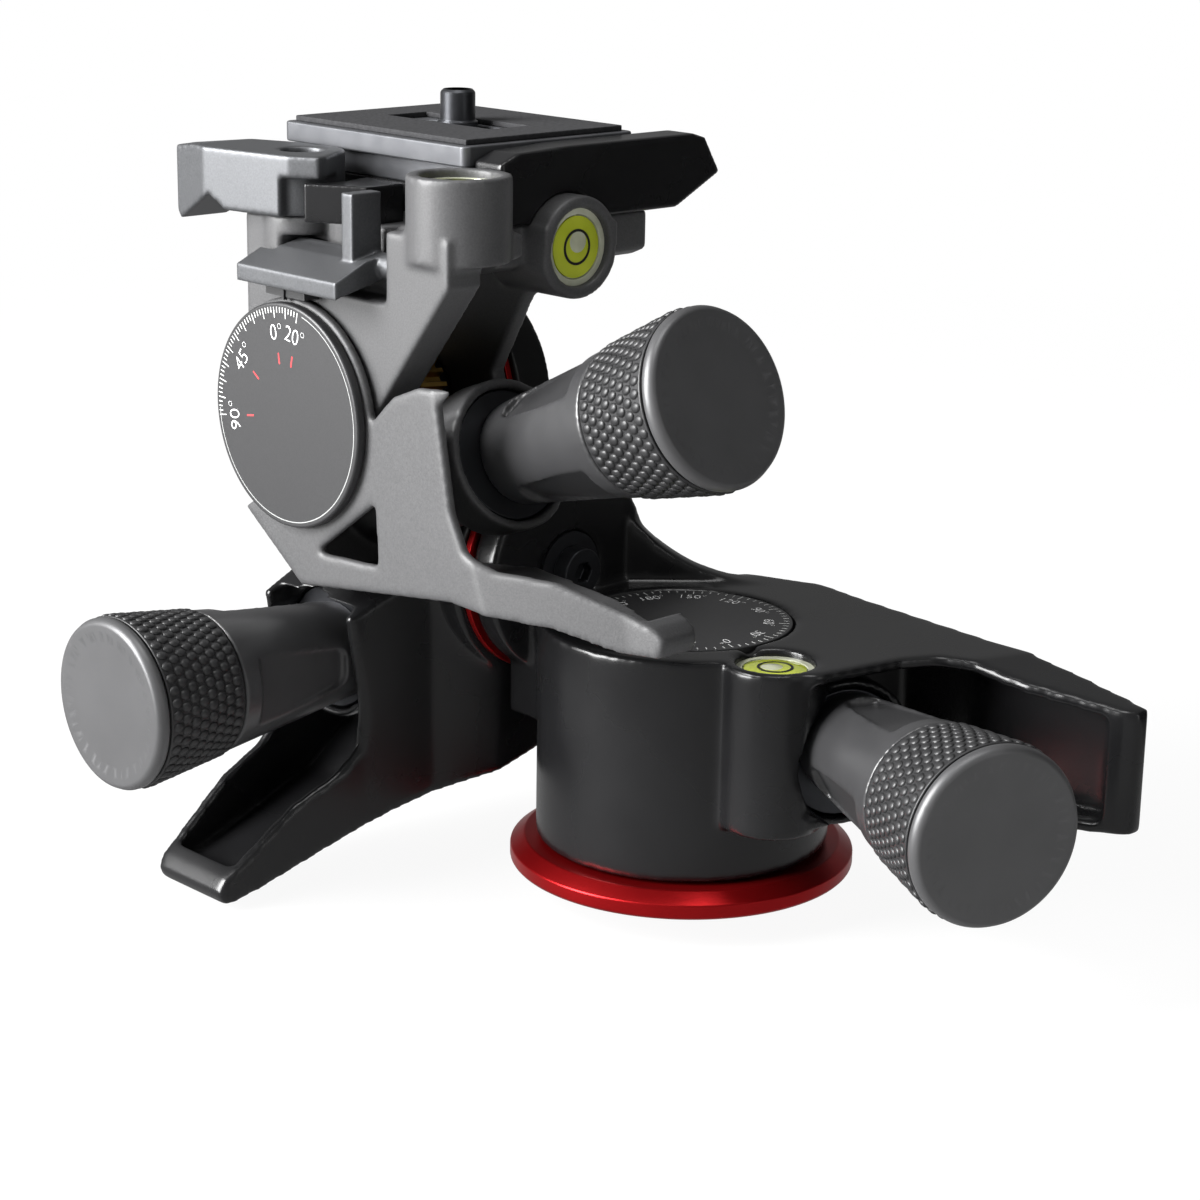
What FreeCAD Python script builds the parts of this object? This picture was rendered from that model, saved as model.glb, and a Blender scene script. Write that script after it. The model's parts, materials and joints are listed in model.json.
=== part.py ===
import FreeCAD, Part
import math
import os

V = FreeCAD.Vector
os.makedirs("parts", exist_ok=True)

# Clearances
RUN = 0.08            # radial, a shaft that turns in its bearing
FIT = 0.03            # radial, a piece fixed on its seat
GAP = 0.3             # between faces that move past each other
CAVITY = 0.6          # round a gear wheel inside its housing

# Base: a turned disc and spindle in one piece
BASE_R = 31.4
BASE_EDGE_H = 2.8
BASE_TOP_R = 28.8
BASE_TOP = 4.6
BASE_CHAMFER = 0.6
THREAD_R = 4.7625     # 3/8 inch tripod thread
THREAD_DEPTH = 11.0
RELIEF_IN_R = 15.0
RELIEF_OUT_R = 26.0
RELIEF_DEPTH = 1.0
SPINDLE_R = 9.0

# Worm drive, the same three times
TEETH = 30
MODULE = 0.8
WHEEL_R = TEETH * MODULE / 2
WORM_R = 3.9
CENTRE = WHEEL_R + WORM_R
TOOTH_OUT = 0.7
TOOTH_IN = 0.85
WHEEL_HALF = 3.0
WORM_HALF = 8.0
WORM_TURNS = 3
WORM_STEPS = 16
FLANK = math.radians(20)
BACKLASH = 0.17       # each side of a thread
PITCH = math.pi * MODULE
LEAD_SLOPE = MODULE / (2 * WORM_R)
SHAFT_R = 2.6
ECCENTRIC = 2.0       # worm axis beside the sleeve axis
SLEEVE_R = 8.1
SLEEVE_BACK = -15.0
SLEEVE_FLANGE_R = 11.4
SLEEVE_FLANGE_T = 3.2
MOUTH_X = 32.0        # face of the boss that the flange sits in
SLEEVE_FLANGE_X = MOUTH_X - 4.2
TUNNEL_WALL = 1.9
MOUTH_WALL = 2.0

# Knob on the worm shaft, distances along the shaft from the wheel's axis
NECK_X = 31.6
NECK_R = 9.1
GRIP_X = 62.0
CAP_X = 79.2
KNOB_END = 81.9
KNOB_R = 15.3
DENT_DEPTH = 1.6

# Where the three axes lie
PAN_WHEEL_Z = 30.2
PAN_KNOB_ANGLE = math.radians(-20.5)
LATERAL_Y = -6.0
LATERAL_Z = 50.7
LATERAL_WORM_X = -53.6
FRONT_X = -51.0
FRONT_Z = 81.0
FRONT_WORM_Y = -26.1
FRONT_KNOB_ANGLE = math.radians(20.4)

# Pan housing
PAN_R = 26.7
PAN_TOP = 45.5
PAN_LOW_SIDE = -13.0  # lower face of the pan wing, from the worm plane
PAN_DIAL_R = 19.0
DIAL_T = 2.0
PAN_LEVEL = (27.7, -6.8)
LEVEL_R = 9.0
LEVEL_BORE_R = 6.8
UPRIGHT_FACE = -30.0
UPRIGHT_T = 6.0
UPRIGHT_R = 19.4

# Lateral tilt
RING_R = 20.0
RING_T = 1.3
AXLE_R = 7.0
HUB_R = 21.5
HUB_BACK = -66.5
LATERAL_DIAL_R = 16.0
LATERAL_DIAL_T = 1.6

# Front tilt
FRONT_FACE = -48.4
FRONT_SKIN = 2.0
FRONT_DIAL_R = 20.1
CHEEK_NEAR = -13.0
CHEEK_FAR = -5.0
CHEEK_R = 20.2
FRONT_RING_R = 19.2
WEB_SWEEP_R = 22.6    # the bracket's webs pass inside this radius
WEB_FRONT = (-46.1, -38.5)
WEB_BACK = (-17.8, CHEEK_NEAR - RING_T - 0.1)
BRACKET_HUB_R = 13.7

# Plate and clamp
PLATE_X = -50.5
PLATE_Y = -10.5
PLATE_LX = 50.0
PLATE_LY = 40.6
PLATE_TOP = 130.2
PLATE_BAND = 3.6
PLATE_T = 8.9
PLATE_INSET = 2.2
PAD_T = 1.0
CAMERA_R = 3.175      # 1/4 inch camera thread
CAMERA_UP = 5.6
PLATE_LOW = PLATE_TOP - PLATE_T

# Pan spindle, its washer and nut
SPINDLE_TOP = 37.0
WASHER_R = 12.6
WASHER_T = 1.5
NUT_R = 10.0
STUD_R = 6.0

# Levels
LEVEL_DEEP = 5.0
LEVEL_SUNK = 1.4
TOP_LEVEL = (-18.5, -38.3, 126.0)
SIDE_LEVEL = (-14.0, -14.0, 111.8)

# Clamp lever and safety catch
PLATFORM_LOW = 107.6
PLATFORM_TOP = 116.0
BRACKET_LEFT = -16.3
BRACKET_RIGHT = 38.5
LEVER_PIVOT = (-59.5, PLATE_Y - PLATE_LY / 2 - 8.4)
LEVER_HUB_R = 7.3
LEVER_LOW = 115.2
LEVER_T = 11.0
LEVER_TOP = LEVER_LOW + LEVER_T
PIVOT_R = 2.0
CATCH_AXIS = (-42.0, 109.0)
CATCH_PIN_R = 1.2
CATCH_LEFT = -57.2
CATCH_RIGHT = -28.6
LATERAL_NUT_X = -61.6
LATERAL_NUT_R = 10.2
LATERAL_NUT_T = 2.4

# Wings: side outlines, along the shaft and away from the wheel
WING_TIP = 66.0
WING_WALL = 2.2
WING_OUTER = [(-12, 34.0), (0, 36.5), (30, 44.5), (58, 53.6), (64.5, 55.2)]
WING_RIM = [(WING_TIP, 52.5), (64.5, 50.0), (50, 39.0), (41, 35.0), (36.5, 31.0), (35.5, 24.0), (38.5, 6.0)]
PAN_WING_TOP = [(36.0, 2.0), (20, 0), (-24, 14), (-24, 24)]
LATERAL_WING_TOP = [(30, 2.0), (12, -2), (-10, -4), (-19, 8), (-19, 26)]
FRONT_OUTER = [(-9.9, 29.5), (0, 31.7), (30, 38.5), (48, 46.5), (58, 53.0), (64.5, 55.2)]
FRONT_TOP = [(42.2, 4.2), (34.4, 2.1), (27.4, 2.3), (20.4, 5.4), (-21, 13)]
DIAL_HOLE = [(21.8, -12.2), (5.2, -24.2), (22.6, -23.2)]

# Rear cheek's foot, from the front axle
CHEEK_FOOT = [(-19, -6), (-19, -24), (-16, -30.3), (19.5, -30.3), (20, 0)]
UPRIGHT_ROOM = 2.5    # round the upright as the head leans
CHEEK_SPLIT = 0.6     # between the cheek and the upright's face

# Clamp outlines: the jaw in (Y, Z) from the plate's far edge and underside, the others from their pivots
JAW_T = 7.2
JAW_FAR = [(8, 7.6), (11, 6.7), (15, 0.2), (10, -2.3), (4, -5.3)]
JAW_NEAR = [(0, 5.5), (4, 7.1), (16, 7.6)]
RECEIVER_EDGE = 2.0
RECEIVER_FAR = 4.0
LEVER_PLAN = [(7.4, 2.0), (10.6, -2.9), (11.0, -5.0), (6, -8.0), (-2, -9.4), (-14, -11.3), (-24, -9.8),
              (-29, -2.3), (-18, 2.7), (-9, 6.4), (-4.5, 6.6), (4, 6.6)]
LEVER_SIDE = [(12, 7.0), (12, 12.0), (-9, 12.0), (-30, 9.5), (-30, 6.0), (-23, -3.0), (-13, 2.5), (-9, 0),
              (4, 0), (4, 7.0)]
LEVER_WALL = 0.3      # the hub stands out of the post by this
LEVER_POCKET_R = 3.9
LEVER_POCKET = 4.0
STOP_PLAN = [(9.0, -7.0), (19.0, -1.0), (19.0, 7.5), (9.0, 7.5)]
STOP_ROOM = 3.2
STOP_H = 6.4
CATCH_TAB = [(-16.5, -5.0), (-12.5, -2.4), (-4.6, 1.2), (0, 2.2), (0, -2.2), (-10.0, -4.4), (-15.9, -6.4)]
CATCH_BARREL_R = 2.3
CATCH_ROOM = 2.7
CATCH_ARM = (12.5, 15.5, -5.5, 1.0, 12.5)
CATCH_FRONT = 1.6     # the tab's free end stays this far in front of the web

# Camera screw and the openings it goes through
SCREW_HEAD_R = 7.6
SCREW_HEAD_T = 3.3
SCREW_SEAT = 0.6
SCREW_TIP = 0.5
COIN_SLOT = 0.9
COIN_DEEP = 1.2
PLATE_SLOT = (11.0, 4.0)
PAD_SLOT = (14.0, 4.6)
PAD_EDGE = 1.6
PLATE_RECESS_R = 11.0
PLATE_RECESS = 4.2


def polygon(points):
    return Part.Face(Part.makePolygon(points + [points[0]]))


def prism(points, axis, low, high):
    """Extrude a flat outline along X, Y or Z. The outline gives the other two in order."""
    if axis == "x":
        face = polygon([V(low, a, b) for a, b in points])
        return face.extrude(V(high - low, 0, 0))
    if axis == "y":
        face = polygon([V(a, low, b) for a, b in points])
        return face.extrude(V(0, high - low, 0))
    face = polygon([V(a, b, low) for a, b in points])
    return face.extrude(V(0, 0, high - low))


def box(x0, x1, y0, y1, z0, z1):
    return Part.makeBox(x1 - x0, y1 - y0, z1 - z0, V(x0, y0, z0))


def rod(radius, start, end):
    start = V(*start)
    along = V(*end) - start
    return Part.makeCylinder(radius, along.Length, start, along)


def cone(r0, r1, start, end):
    start = V(*start)
    along = V(*end) - start
    return Part.makeCone(r0, r1, along.Length, start, along)


def turned(points):
    """Revolve an outline of (distance along X, radius) about the X axis."""
    face = polygon([V(a, 0, r) for a, r in points])
    return face.revolve(V(0, 0, 0), V(1, 0, 0), 360)


def fuse(shapes):
    result = shapes[0]
    for shape in shapes[1:]:
        result = result.fuse(shape)
    return result.removeSplitter()


def cut(shape, tools):
    for tool in tools:
        shape = shape.cut(tool)
    return shape.removeSplitter()


def straight_edges(shape, direction, keep):
    """Straight edges along a direction whose middle point passes a test."""
    found = []
    for edge in shape.Edges:
        if edge.Curve.TypeId != "Part::GeomLine":
            continue
        if abs(edge.tangentAt(edge.FirstParameter).dot(direction)) < 0.999:
            continue
        if keep(edge.CenterOfMass):
            found.append(edge)
    return found


def frame(origin, x, y):
    """Placement of a worm unit: x along its shaft, y along its wheel's axis."""
    z = x.cross(y)
    matrix = FreeCAD.Matrix(x.x, y.x, z.x, origin.x,
                            x.y, y.y, z.y, origin.y,
                            x.z, y.z, z.z, origin.z,
                            0, 0, 0, 1)
    return FreeCAD.Placement(matrix)


UNITS = {
    "pan": frame(V(0, 0, PAN_WHEEL_Z),
                 V(math.cos(PAN_KNOB_ANGLE), math.sin(PAN_KNOB_ANGLE), 0), V(0, 0, 1)),
    "lateral": frame(V(LATERAL_WORM_X, LATERAL_Y, LATERAL_Z), V(0, -1, 0), V(1, 0, 0)),
    "front": frame(V(FRONT_X, FRONT_WORM_Y, FRONT_Z),
                   V(math.cos(FRONT_KNOB_ANGLE), 0, math.sin(FRONT_KNOB_ANGLE)), V(0, 1, 0)),
}


def placed(shape, unit):
    moved = shape.copy()
    moved.Placement = UNITS[unit].multiply(moved.Placement)
    return moved


def on_shaft(shape):
    """Move a shape made about the X axis onto the worm's axis."""
    return shape.translated(V(0, 0, -CENTRE))


def on_sleeve(shape):
    """Move a shape made about the X axis onto the sleeve's axis."""
    return shape.translated(V(0, -ECCENTRIC, -CENTRE))


# Worm wheel: straight flanks set over by the worm's lead
def worm_wheel(bore_r):
    outer = WHEEL_R + TOOTH_OUT
    wheel = rod(outer, (0, -WHEEL_HALF, 0), (0, WHEEL_HALF, 0))
    wheel = wheel.cut(rod(bore_r + FIT, (0, -WHEEL_HALF, 0), (0, WHEEL_HALF, 0)))
    reach = WHEEL_HALF + 0.5
    shift = reach * LEAD_SLOPE
    half = PITCH / 4 + BACKLASH / 2
    root = WHEEL_R - TOOTH_IN
    tip = outer + 0.3
    at_root = half - TOOTH_IN * math.tan(FLANK)
    at_tip = half + (tip - WHEEL_R) * math.tan(FLANK)
    outline = [(-at_root, -root), (at_root, -root), (at_tip, -tip), (-at_tip, -tip)]
    face = polygon([V(x + shift, -reach, z) for x, z in outline])
    gap = face.extrude(V(-2 * shift, 2 * reach, 0))
    gaps = []
    for k in range(TEETH):
        turned_gap = gap.copy()
        turned_gap.rotate(V(0, 0, 0), V(0, 1, 0), k * 360.0 / TEETH)
        gaps.append(turned_gap)
    return wheel.cut(Part.makeCompound(gaps))


# Worm: one thread round the knob's shaft, a faceted ridge along its helix
def worm_thread():
    root_r = WORM_R - TOOTH_IN
    half = PITCH / 4 - BACKLASH / 2
    at_root = half + TOOTH_IN * math.tan(FLANK)
    at_tip = half - TOOTH_OUT * math.tan(FLANK)
    tip_r = WORM_R + TOOTH_OUT
    sections = []
    for k in range(WORM_TURNS * WORM_STEPS + 1):
        turn = k / WORM_STEPS - WORM_TURNS / 2
        angle = 2 * math.pi * turn + math.pi / 2
        x = turn * PITCH
        side = math.cos(angle)
        up = math.sin(angle)
        corners = [(x - at_root, root_r), (x + at_root, root_r), (x + at_tip, tip_r), (x - at_tip, tip_r)]
        sections.append([V(a, r * side, r * up) for a, r in corners])
    faces = [polygon(sections[0]), polygon(sections[-1])]
    for near, far in zip(sections, sections[1:]):
        for i in range(4):
            j = (i + 1) % 4
            faces.append(polygon([near[i], near[j], far[j]]))
            faces.append(polygon([near[i], far[j], far[i]]))
    return Part.Solid(Part.Shell(faces))


def worm_shaft():
    root_r = WORM_R - TOOTH_IN
    corners = []
    for k in range(WORM_STEPS):
        angle = 2 * math.pi * k / WORM_STEPS + math.pi / 2
        corners.append((root_r * math.cos(angle), root_r * math.sin(angle)))
    core = prism(corners, "x", -WORM_HALF, WORM_HALF)
    shaft = rod(SHAFT_R, (SLEEVE_BACK + 1.0, 0, 0), (CAP_X - 1.0, 0, 0))
    return on_shaft(fuse([core, worm_thread(), shaft]))


# Eccentric sleeve: carries the worm, open where the wheel reaches in
def worm_sleeve():
    body = rod(SLEEVE_R, (SLEEVE_BACK, 0, 0), (SLEEVE_FLANGE_X, 0, 0))
    flange = rod(SLEEVE_FLANGE_R, (SLEEVE_FLANGE_X, 0, 0), (SLEEVE_FLANGE_X + SLEEVE_FLANGE_T, 0, 0))
    sleeve = on_sleeve(fuse([body, flange]))
    room = WORM_HALF + GAP
    bore = on_shaft(rod(SHAFT_R + RUN, (SLEEVE_BACK - 1, 0, 0), (NECK_X, 0, 0)))
    chamber = on_shaft(rod(WORM_R + TOOTH_OUT + GAP, (-room, 0, 0), (room, 0, 0)))
    reach = WHEEL_R + TOOTH_OUT - 2.0
    window = box(-reach, reach, -20, 20, -CENTRE + 0.5, 0)
    return cut(sleeve, [bore, chamber, window])


# Release collar: the smooth cone that fingers twist against the wing
def cone_radius(x):
    return NECK_R + (x - NECK_X) * (KNOB_R - NECK_R) / (CAP_X - NECK_X)


def release_collar():
    start = SLEEVE_FLANGE_X + SLEEVE_FLANGE_T
    end = GRIP_X - GAP
    shell = cone(cone_radius(start), cone_radius(end), (start, 0, 0), (end, 0, 0))
    bore = rod(SHAFT_R + RUN, (start - 1, 0, 0), (end + 1, 0, 0))
    hollow = cone(4.6, 9.6, (start + 6.0, 0, 0), (end + 0.01, 0, 0))
    shell = cut(shell, [bore, hollow])
    dents = []
    for k in range(3):
        dent = dent_tool()
        dent.rotate(V(0, 0, 0), V(1, 0, 0), 120 * k - 90)
        dents.append(dent)
    return on_shaft(shell.cut(Part.makeCompound(dents)).removeSplitter())


def dent_tool():
    """A rounded wedge with a flat floor that follows the cone's slope."""
    x0 = NECK_X + 5.0
    x1 = GRIP_X - 4.5
    outline = prism([(x0, -2.6), (x0 + 1.5, -3.6), (x1, -6.6), (x1, 6.6), (x0 + 1.5, 3.6), (x0, 2.6)],
                    "z", 0, 30)
    upright = straight_edges(outline, V(0, 0, 1), lambda c: True)
    outline = outline.makeFillet(1.0, upright)
    rise = cone_radius(x1) - cone_radius(x0)
    keep = prism([(x0 - 1, cone_radius(x0) - DENT_DEPTH), (x1 + 1, cone_radius(x0) - DENT_DEPTH + rise),
                  (x1 + 1, 30), (x0 - 1, 30)], "y", -10, 10)
    return outline.common(keep)


def knob_grip():
    body = cone(cone_radius(GRIP_X), cone_radius(CAP_X), (GRIP_X, 0, 0), (CAP_X, 0, 0))
    bore = rod(SHAFT_R + FIT, (GRIP_X - 1, 0, 0), (CAP_X + 1, 0, 0))
    hollow = rod(9.0, (GRIP_X - 1, 0, 0), (GRIP_X + 4.0, 0, 0))
    return on_shaft(cut(body, [bore, hollow]))


def knob_cap():
    rim = 1.3
    dish = 0.5
    outline = [(CAP_X + 0.05, 0), (CAP_X + 0.05, KNOB_R - 0.5), (CAP_X + 0.6, KNOB_R - 0.05),
               (KNOB_END - rim, KNOB_R - 0.05), (KNOB_END - 0.4, KNOB_R - 0.5), (KNOB_END, KNOB_R - rim),
               (KNOB_END, KNOB_R - rim - 0.8), (KNOB_END - dish, KNOB_R - rim - 3.0), (KNOB_END - dish, 0)]
    return on_shaft(turned(outline))


# Cuts that every housing needs for its sleeve, wheel and mouth
def drive_cuts():
    tunnel = on_sleeve(rod(SLEEVE_R + RUN, (SLEEVE_BACK - GAP, 0, 0), (MOUTH_X + 1, 0, 0)))
    mouth = on_sleeve(rod(SLEEVE_FLANGE_R + GAP, (SLEEVE_FLANGE_X - GAP, 0, 0), (GRIP_X, 0, 0)))
    wheel_r = WHEEL_R + TOOTH_OUT + CAVITY
    half = WHEEL_HALF + CAVITY
    wheel = rod(wheel_r, (0, -half, 0), (0, half, 0))
    return [tunnel, mouth, wheel]


def tunnel_tube():
    tube = rod(SLEEVE_R + TUNNEL_WALL, (SLEEVE_BACK - 2.5, 0, 0), (MOUTH_X - 6, 0, 0))
    boss = rod(SLEEVE_FLANGE_R + MOUTH_WALL, (MOUTH_X - 8, 0, 0), (MOUTH_X, 0, 0))
    return on_sleeve(fuse([tube, boss]))


def wing_block(outer, top, plan):
    """The outside of a housing and wing: a side outline meets a plan outline."""
    side = [(x, -n) for x, n in outer + WING_RIM + top]
    body = prism(side, "y", -30, 30)
    outline = prism(plan, "z", -70, 30)
    return body.common(outline)


def trough(outer, plan, start, ceiling):
    """The hollow of a wing, one wall in from its plan and its outer line."""
    floor = [(x, WING_WALL + 0.3 - n) for x, n in outer[1:-1]]
    side = [(start, -ceiling), (start, floor[0][1])] + [p for p in floor if p[0] > start]
    side = side + [(62.0, -51.4), (62.0, 20), (40, 20), (40, -ceiling)]
    body = prism(side, "y", -30, 30)
    outline = prism(plan, "z", -70, 40)
    return body.common(outline)


# Base group
def base_ring():
    outline = [(0, 0), (0, BASE_R - BASE_CHAMFER), (BASE_CHAMFER, BASE_R), (BASE_EDGE_H, BASE_R),
               (BASE_TOP, BASE_TOP_R), (BASE_TOP, SPINDLE_R), (SPINDLE_TOP, SPINDLE_R), (SPINDLE_TOP, 0)]
    body = turned(outline)
    body.rotate(V(0, 0, 0), V(0, 1, 0), -90)
    thread = rod(THREAD_R, (0, 0, -1), (0, 0, THREAD_DEPTH))
    relief = rod(RELIEF_OUT_R, (0, 0, -1), (0, 0, RELIEF_DEPTH))
    relief = relief.cut(rod(RELIEF_IN_R, (0, 0, -1), (0, 0, RELIEF_DEPTH)))
    return cut(body, [thread, relief])


def pan_wheel():
    wheel = worm_wheel(SPINDLE_R)
    return placed(wheel, "pan")


def pan_washer():
    top = SPINDLE_TOP + WASHER_T
    ring = rod(WASHER_R, (0, 0, SPINDLE_TOP), (0, 0, top))
    return ring.cut(rod(STUD_R, (0, 0, SPINDLE_TOP - 1), (0, 0, top + 1)))


def pan_nut():
    seat = SPINDLE_TOP + WASHER_T
    nut = rod(NUT_R, (0, 0, seat), (0, 0, PAN_TOP - DIAL_T - FIT))
    stud = rod(STUD_R - FIT, (0, 0, SPINDLE_TOP), (0, 0, seat + 1))
    return fuse([nut, stud])


def pan_dial():
    return rod(PAN_DIAL_R, (0, 0, PAN_TOP - DIAL_T - FIT), (0, 0, PAN_TOP - 0.2))


# Pan housing: cylinder, worm tunnel and wing, level boss and the upright of the lateral joint
def pan_wing_plan(inset):
    low = PAN_LOW_SIDE + inset
    high = PAN_TOP - PAN_WHEEL_Z - inset
    return [(-30, low), (36, low), (WING_TIP + 1, -10.2 + inset), (WING_TIP + 1, 11.4 - inset),
            (40, high), (-30, high)]


def pan_housing():
    body = rod(PAN_R, (0, 0, BASE_TOP + GAP), (0, 0, PAN_TOP))
    wing = wing_block(WING_OUTER, PAN_WING_TOP, pan_wing_plan(0))
    wing = wing.cut(trough(WING_OUTER, pan_wing_plan(WING_WALL), 20, 5.0))
    x, y = PAN_LEVEL
    boss = rod(LEVEL_R, (x, y, 15.5), (x, y, PAN_TOP))
    disc = rod(UPRIGHT_R, (UPRIGHT_FACE, LATERAL_Y, LATERAL_Z), (UPRIGHT_FACE + UPRIGHT_T, LATERAL_Y, LATERAL_Z))
    foot = box(UPRIGHT_FACE, -5, -16, 18, 24, PAN_TOP)
    sail = upright_sail()
    body = fuse([body, placed(wing, "pan"), boss, disc, foot, sail, placed(tunnel_tube(), "pan")])
    cuts = [placed(tool, "pan") for tool in drive_cuts()]
    cuts.append(rod(SPINDLE_R + RUN, (0, 0, 0), (0, 0, SPINDLE_TOP)))
    cuts.append(rod(WASHER_R + CAVITY, (0, 0, SPINDLE_TOP - GAP), (0, 0, PAN_TOP - 3.4)))
    cuts.append(rod(NUT_R + CAVITY, (0, 0, SPINDLE_TOP), (0, 0, PAN_TOP)))
    cuts.append(rod(PAN_DIAL_R + GAP, (0, 0, PAN_TOP - DIAL_T - GAP), (0, 0, PAN_TOP + 1)))
    cuts.append(rod(LEVEL_BORE_R + FIT, (x, y, PAN_TOP - LEVEL_DEEP), (x, y, PAN_TOP + 1)))
    cuts.append(rod(AXLE_R + FIT, (UPRIGHT_FACE - 1, LATERAL_Y, LATERAL_Z), (UPRIGHT_FACE + UPRIGHT_T + 1, LATERAL_Y, LATERAL_Z)))
    notch = box(PAN_DIAL_R - 0.6, PAN_DIAL_R + 2.6, -1.6, 1.6, PAN_TOP - 1.2, PAN_TOP + 1)
    notch.rotate(V(0, 0, 0), V(0, 0, 1), -14)
    cuts.append(notch)
    return cut(body, cuts)


def upright_sail():
    """A curved gusset from the upright down to the wing's root."""
    start = V(UPRIGHT_FACE + 1.0, 10.0, 0)
    end = V(-9.0, 32.0, 0)
    run = (end - start).Length
    low = 40.0
    top = V(0, 0, LATERAL_Z + 12.0)
    foot = V(run, 0, PAN_TOP)
    middle = V(run * 0.42, 0, PAN_TOP + 4.6)
    arc = Part.Arc(top, middle, foot).toShape()
    lines = [Part.makeLine(foot, V(run, 0, low)), Part.makeLine(V(run, 0, low), V(0, 0, low)),
             Part.makeLine(V(0, 0, low), top)]
    wall = Part.Face(Part.Wire([arc] + lines)).extrude(V(0, -5.0, 0))
    angle = math.degrees(math.atan2(end.y - start.y, end.x - start.x))
    wall.rotate(V(0, 0, 0), V(0, 0, 1), angle)
    return wall.translated(start)


def pan_level():
    x, y = PAN_LEVEL
    return rod(LEVEL_BORE_R, (x, y, PAN_TOP - LEVEL_DEEP), (x, y, PAN_TOP - LEVEL_SUNK))


# Lateral joint: an axle fixed in the upright carries the wheel and the dial
def lateral_axle():
    shaft = rod(AXLE_R, (LATERAL_NUT_X, LATERAL_Y, LATERAL_Z), (UPRIGHT_FACE + UPRIGHT_T, LATERAL_Y, LATERAL_Z))
    return shaft


def lateral_bolt():
    start = UPRIGHT_FACE + UPRIGHT_T
    head = rod(4.4, (start, LATERAL_Y, LATERAL_Z), (start + 3.4, LATERAL_Y, LATERAL_Z))
    corners = [(2.1 * math.cos(math.radians(60 * k)), 2.1 * math.sin(math.radians(60 * k))) for k in range(6)]
    socket = prism([(LATERAL_Y + a, LATERAL_Z + b) for a, b in corners], "x", start + 1.4, start + 5)
    return head.cut(socket)


def lateral_ring():
    x = UPRIGHT_FACE - GAP / 2
    ring = rod(RING_R, (x - RING_T, LATERAL_Y, LATERAL_Z), (x, LATERAL_Y, LATERAL_Z))
    return ring.cut(rod(AXLE_R + FIT, (x - 3, LATERAL_Y, LATERAL_Z), (x + 1, LATERAL_Y, LATERAL_Z)))


def lateral_wheel():
    return placed(worm_wheel(AXLE_R), "lateral")


def lateral_nut():
    return rod(LATERAL_NUT_R, (LATERAL_NUT_X - LATERAL_NUT_T, LATERAL_Y, LATERAL_Z),
               (LATERAL_NUT_X, LATERAL_Y, LATERAL_Z))


def lateral_dial():
    face = LATERAL_NUT_X - LATERAL_NUT_T
    return rod(LATERAL_DIAL_R, (face - LATERAL_DIAL_T, LATERAL_Y, LATERAL_Z), (face, LATERAL_Y, LATERAL_Z))


def lateral_plan(inset):
    face = UPRIGHT_FACE - RING_T - GAP - LATERAL_WORM_X
    if inset:
        return [(-12, -13 + inset), (36, -13 + inset), (WING_TIP, -9.5 + inset),
                (WING_TIP, 9.5 - inset), (36, 13 - inset), (-12, 13 - inset)]
    back = HUB_BACK - LATERAL_WORM_X
    return [(-20, back), (10, back), (36, -13), (WING_TIP + 1, -9.5), (WING_TIP + 1, 9.5), (36, 13),
            (22, 16), (10, face), (-20, face)]


def lateral_form():
    """Outside of the lateral housing before anything is bored in it."""
    block = wing_block(WING_OUTER, LATERAL_WING_TOP, lateral_plan(0))
    block = block.cut(trough(WING_OUTER, lateral_plan(WING_WALL), 20, 5.0))
    near = UPRIGHT_FACE - RING_T - GAP
    hub = rod(HUB_R, (HUB_BACK, LATERAL_Y, LATERAL_Z), (near, LATERAL_Y, LATERAL_Z))
    return fuse([placed(block, "lateral"), hub, placed(tunnel_tube(), "lateral")])


def lateral_housing():
    near = UPRIGHT_FACE - RING_T - GAP
    nut_low = LATERAL_NUT_X - LATERAL_NUT_T
    cuts = [placed(tool, "lateral") for tool in drive_cuts()]
    cuts.append(rod(AXLE_R + RUN, (HUB_BACK - 1, LATERAL_Y, LATERAL_Z), (near + 1, LATERAL_Y, LATERAL_Z)))
    cuts.append(rod(LATERAL_NUT_R + CAVITY, (nut_low, LATERAL_Y, LATERAL_Z),
                    (LATERAL_NUT_X + GAP, LATERAL_Y, LATERAL_Z)))
    cuts.append(rod(LATERAL_DIAL_R + CAVITY, (HUB_BACK - 1, LATERAL_Y, LATERAL_Z),
                    (nut_low + GAP, LATERAL_Y, LATERAL_Z)))
    cuts.append(rod(WEB_SWEEP_R, (FRONT_X, WEB_BACK[0] - GAP, FRONT_Z), (FRONT_X, CHEEK_NEAR, FRONT_Z)))
    cuts.append(placed(tunnel_tube(), "front"))
    return cut(lateral_form(), cuts)


# Front housing: dial plate, worm tunnel and wing
def front_plan(inset):
    low = FRONT_FACE - FRONT_WORM_Y + inset
    high = CHEEK_NEAR - FRONT_WORM_Y - inset
    return [(-45, low), (38, low), (60, -11.5 + inset), (WING_TIP + 1, -9.5 + inset),
            (WING_TIP + 1, 9.5 - inset), (38, high), (-45, high)]


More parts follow.
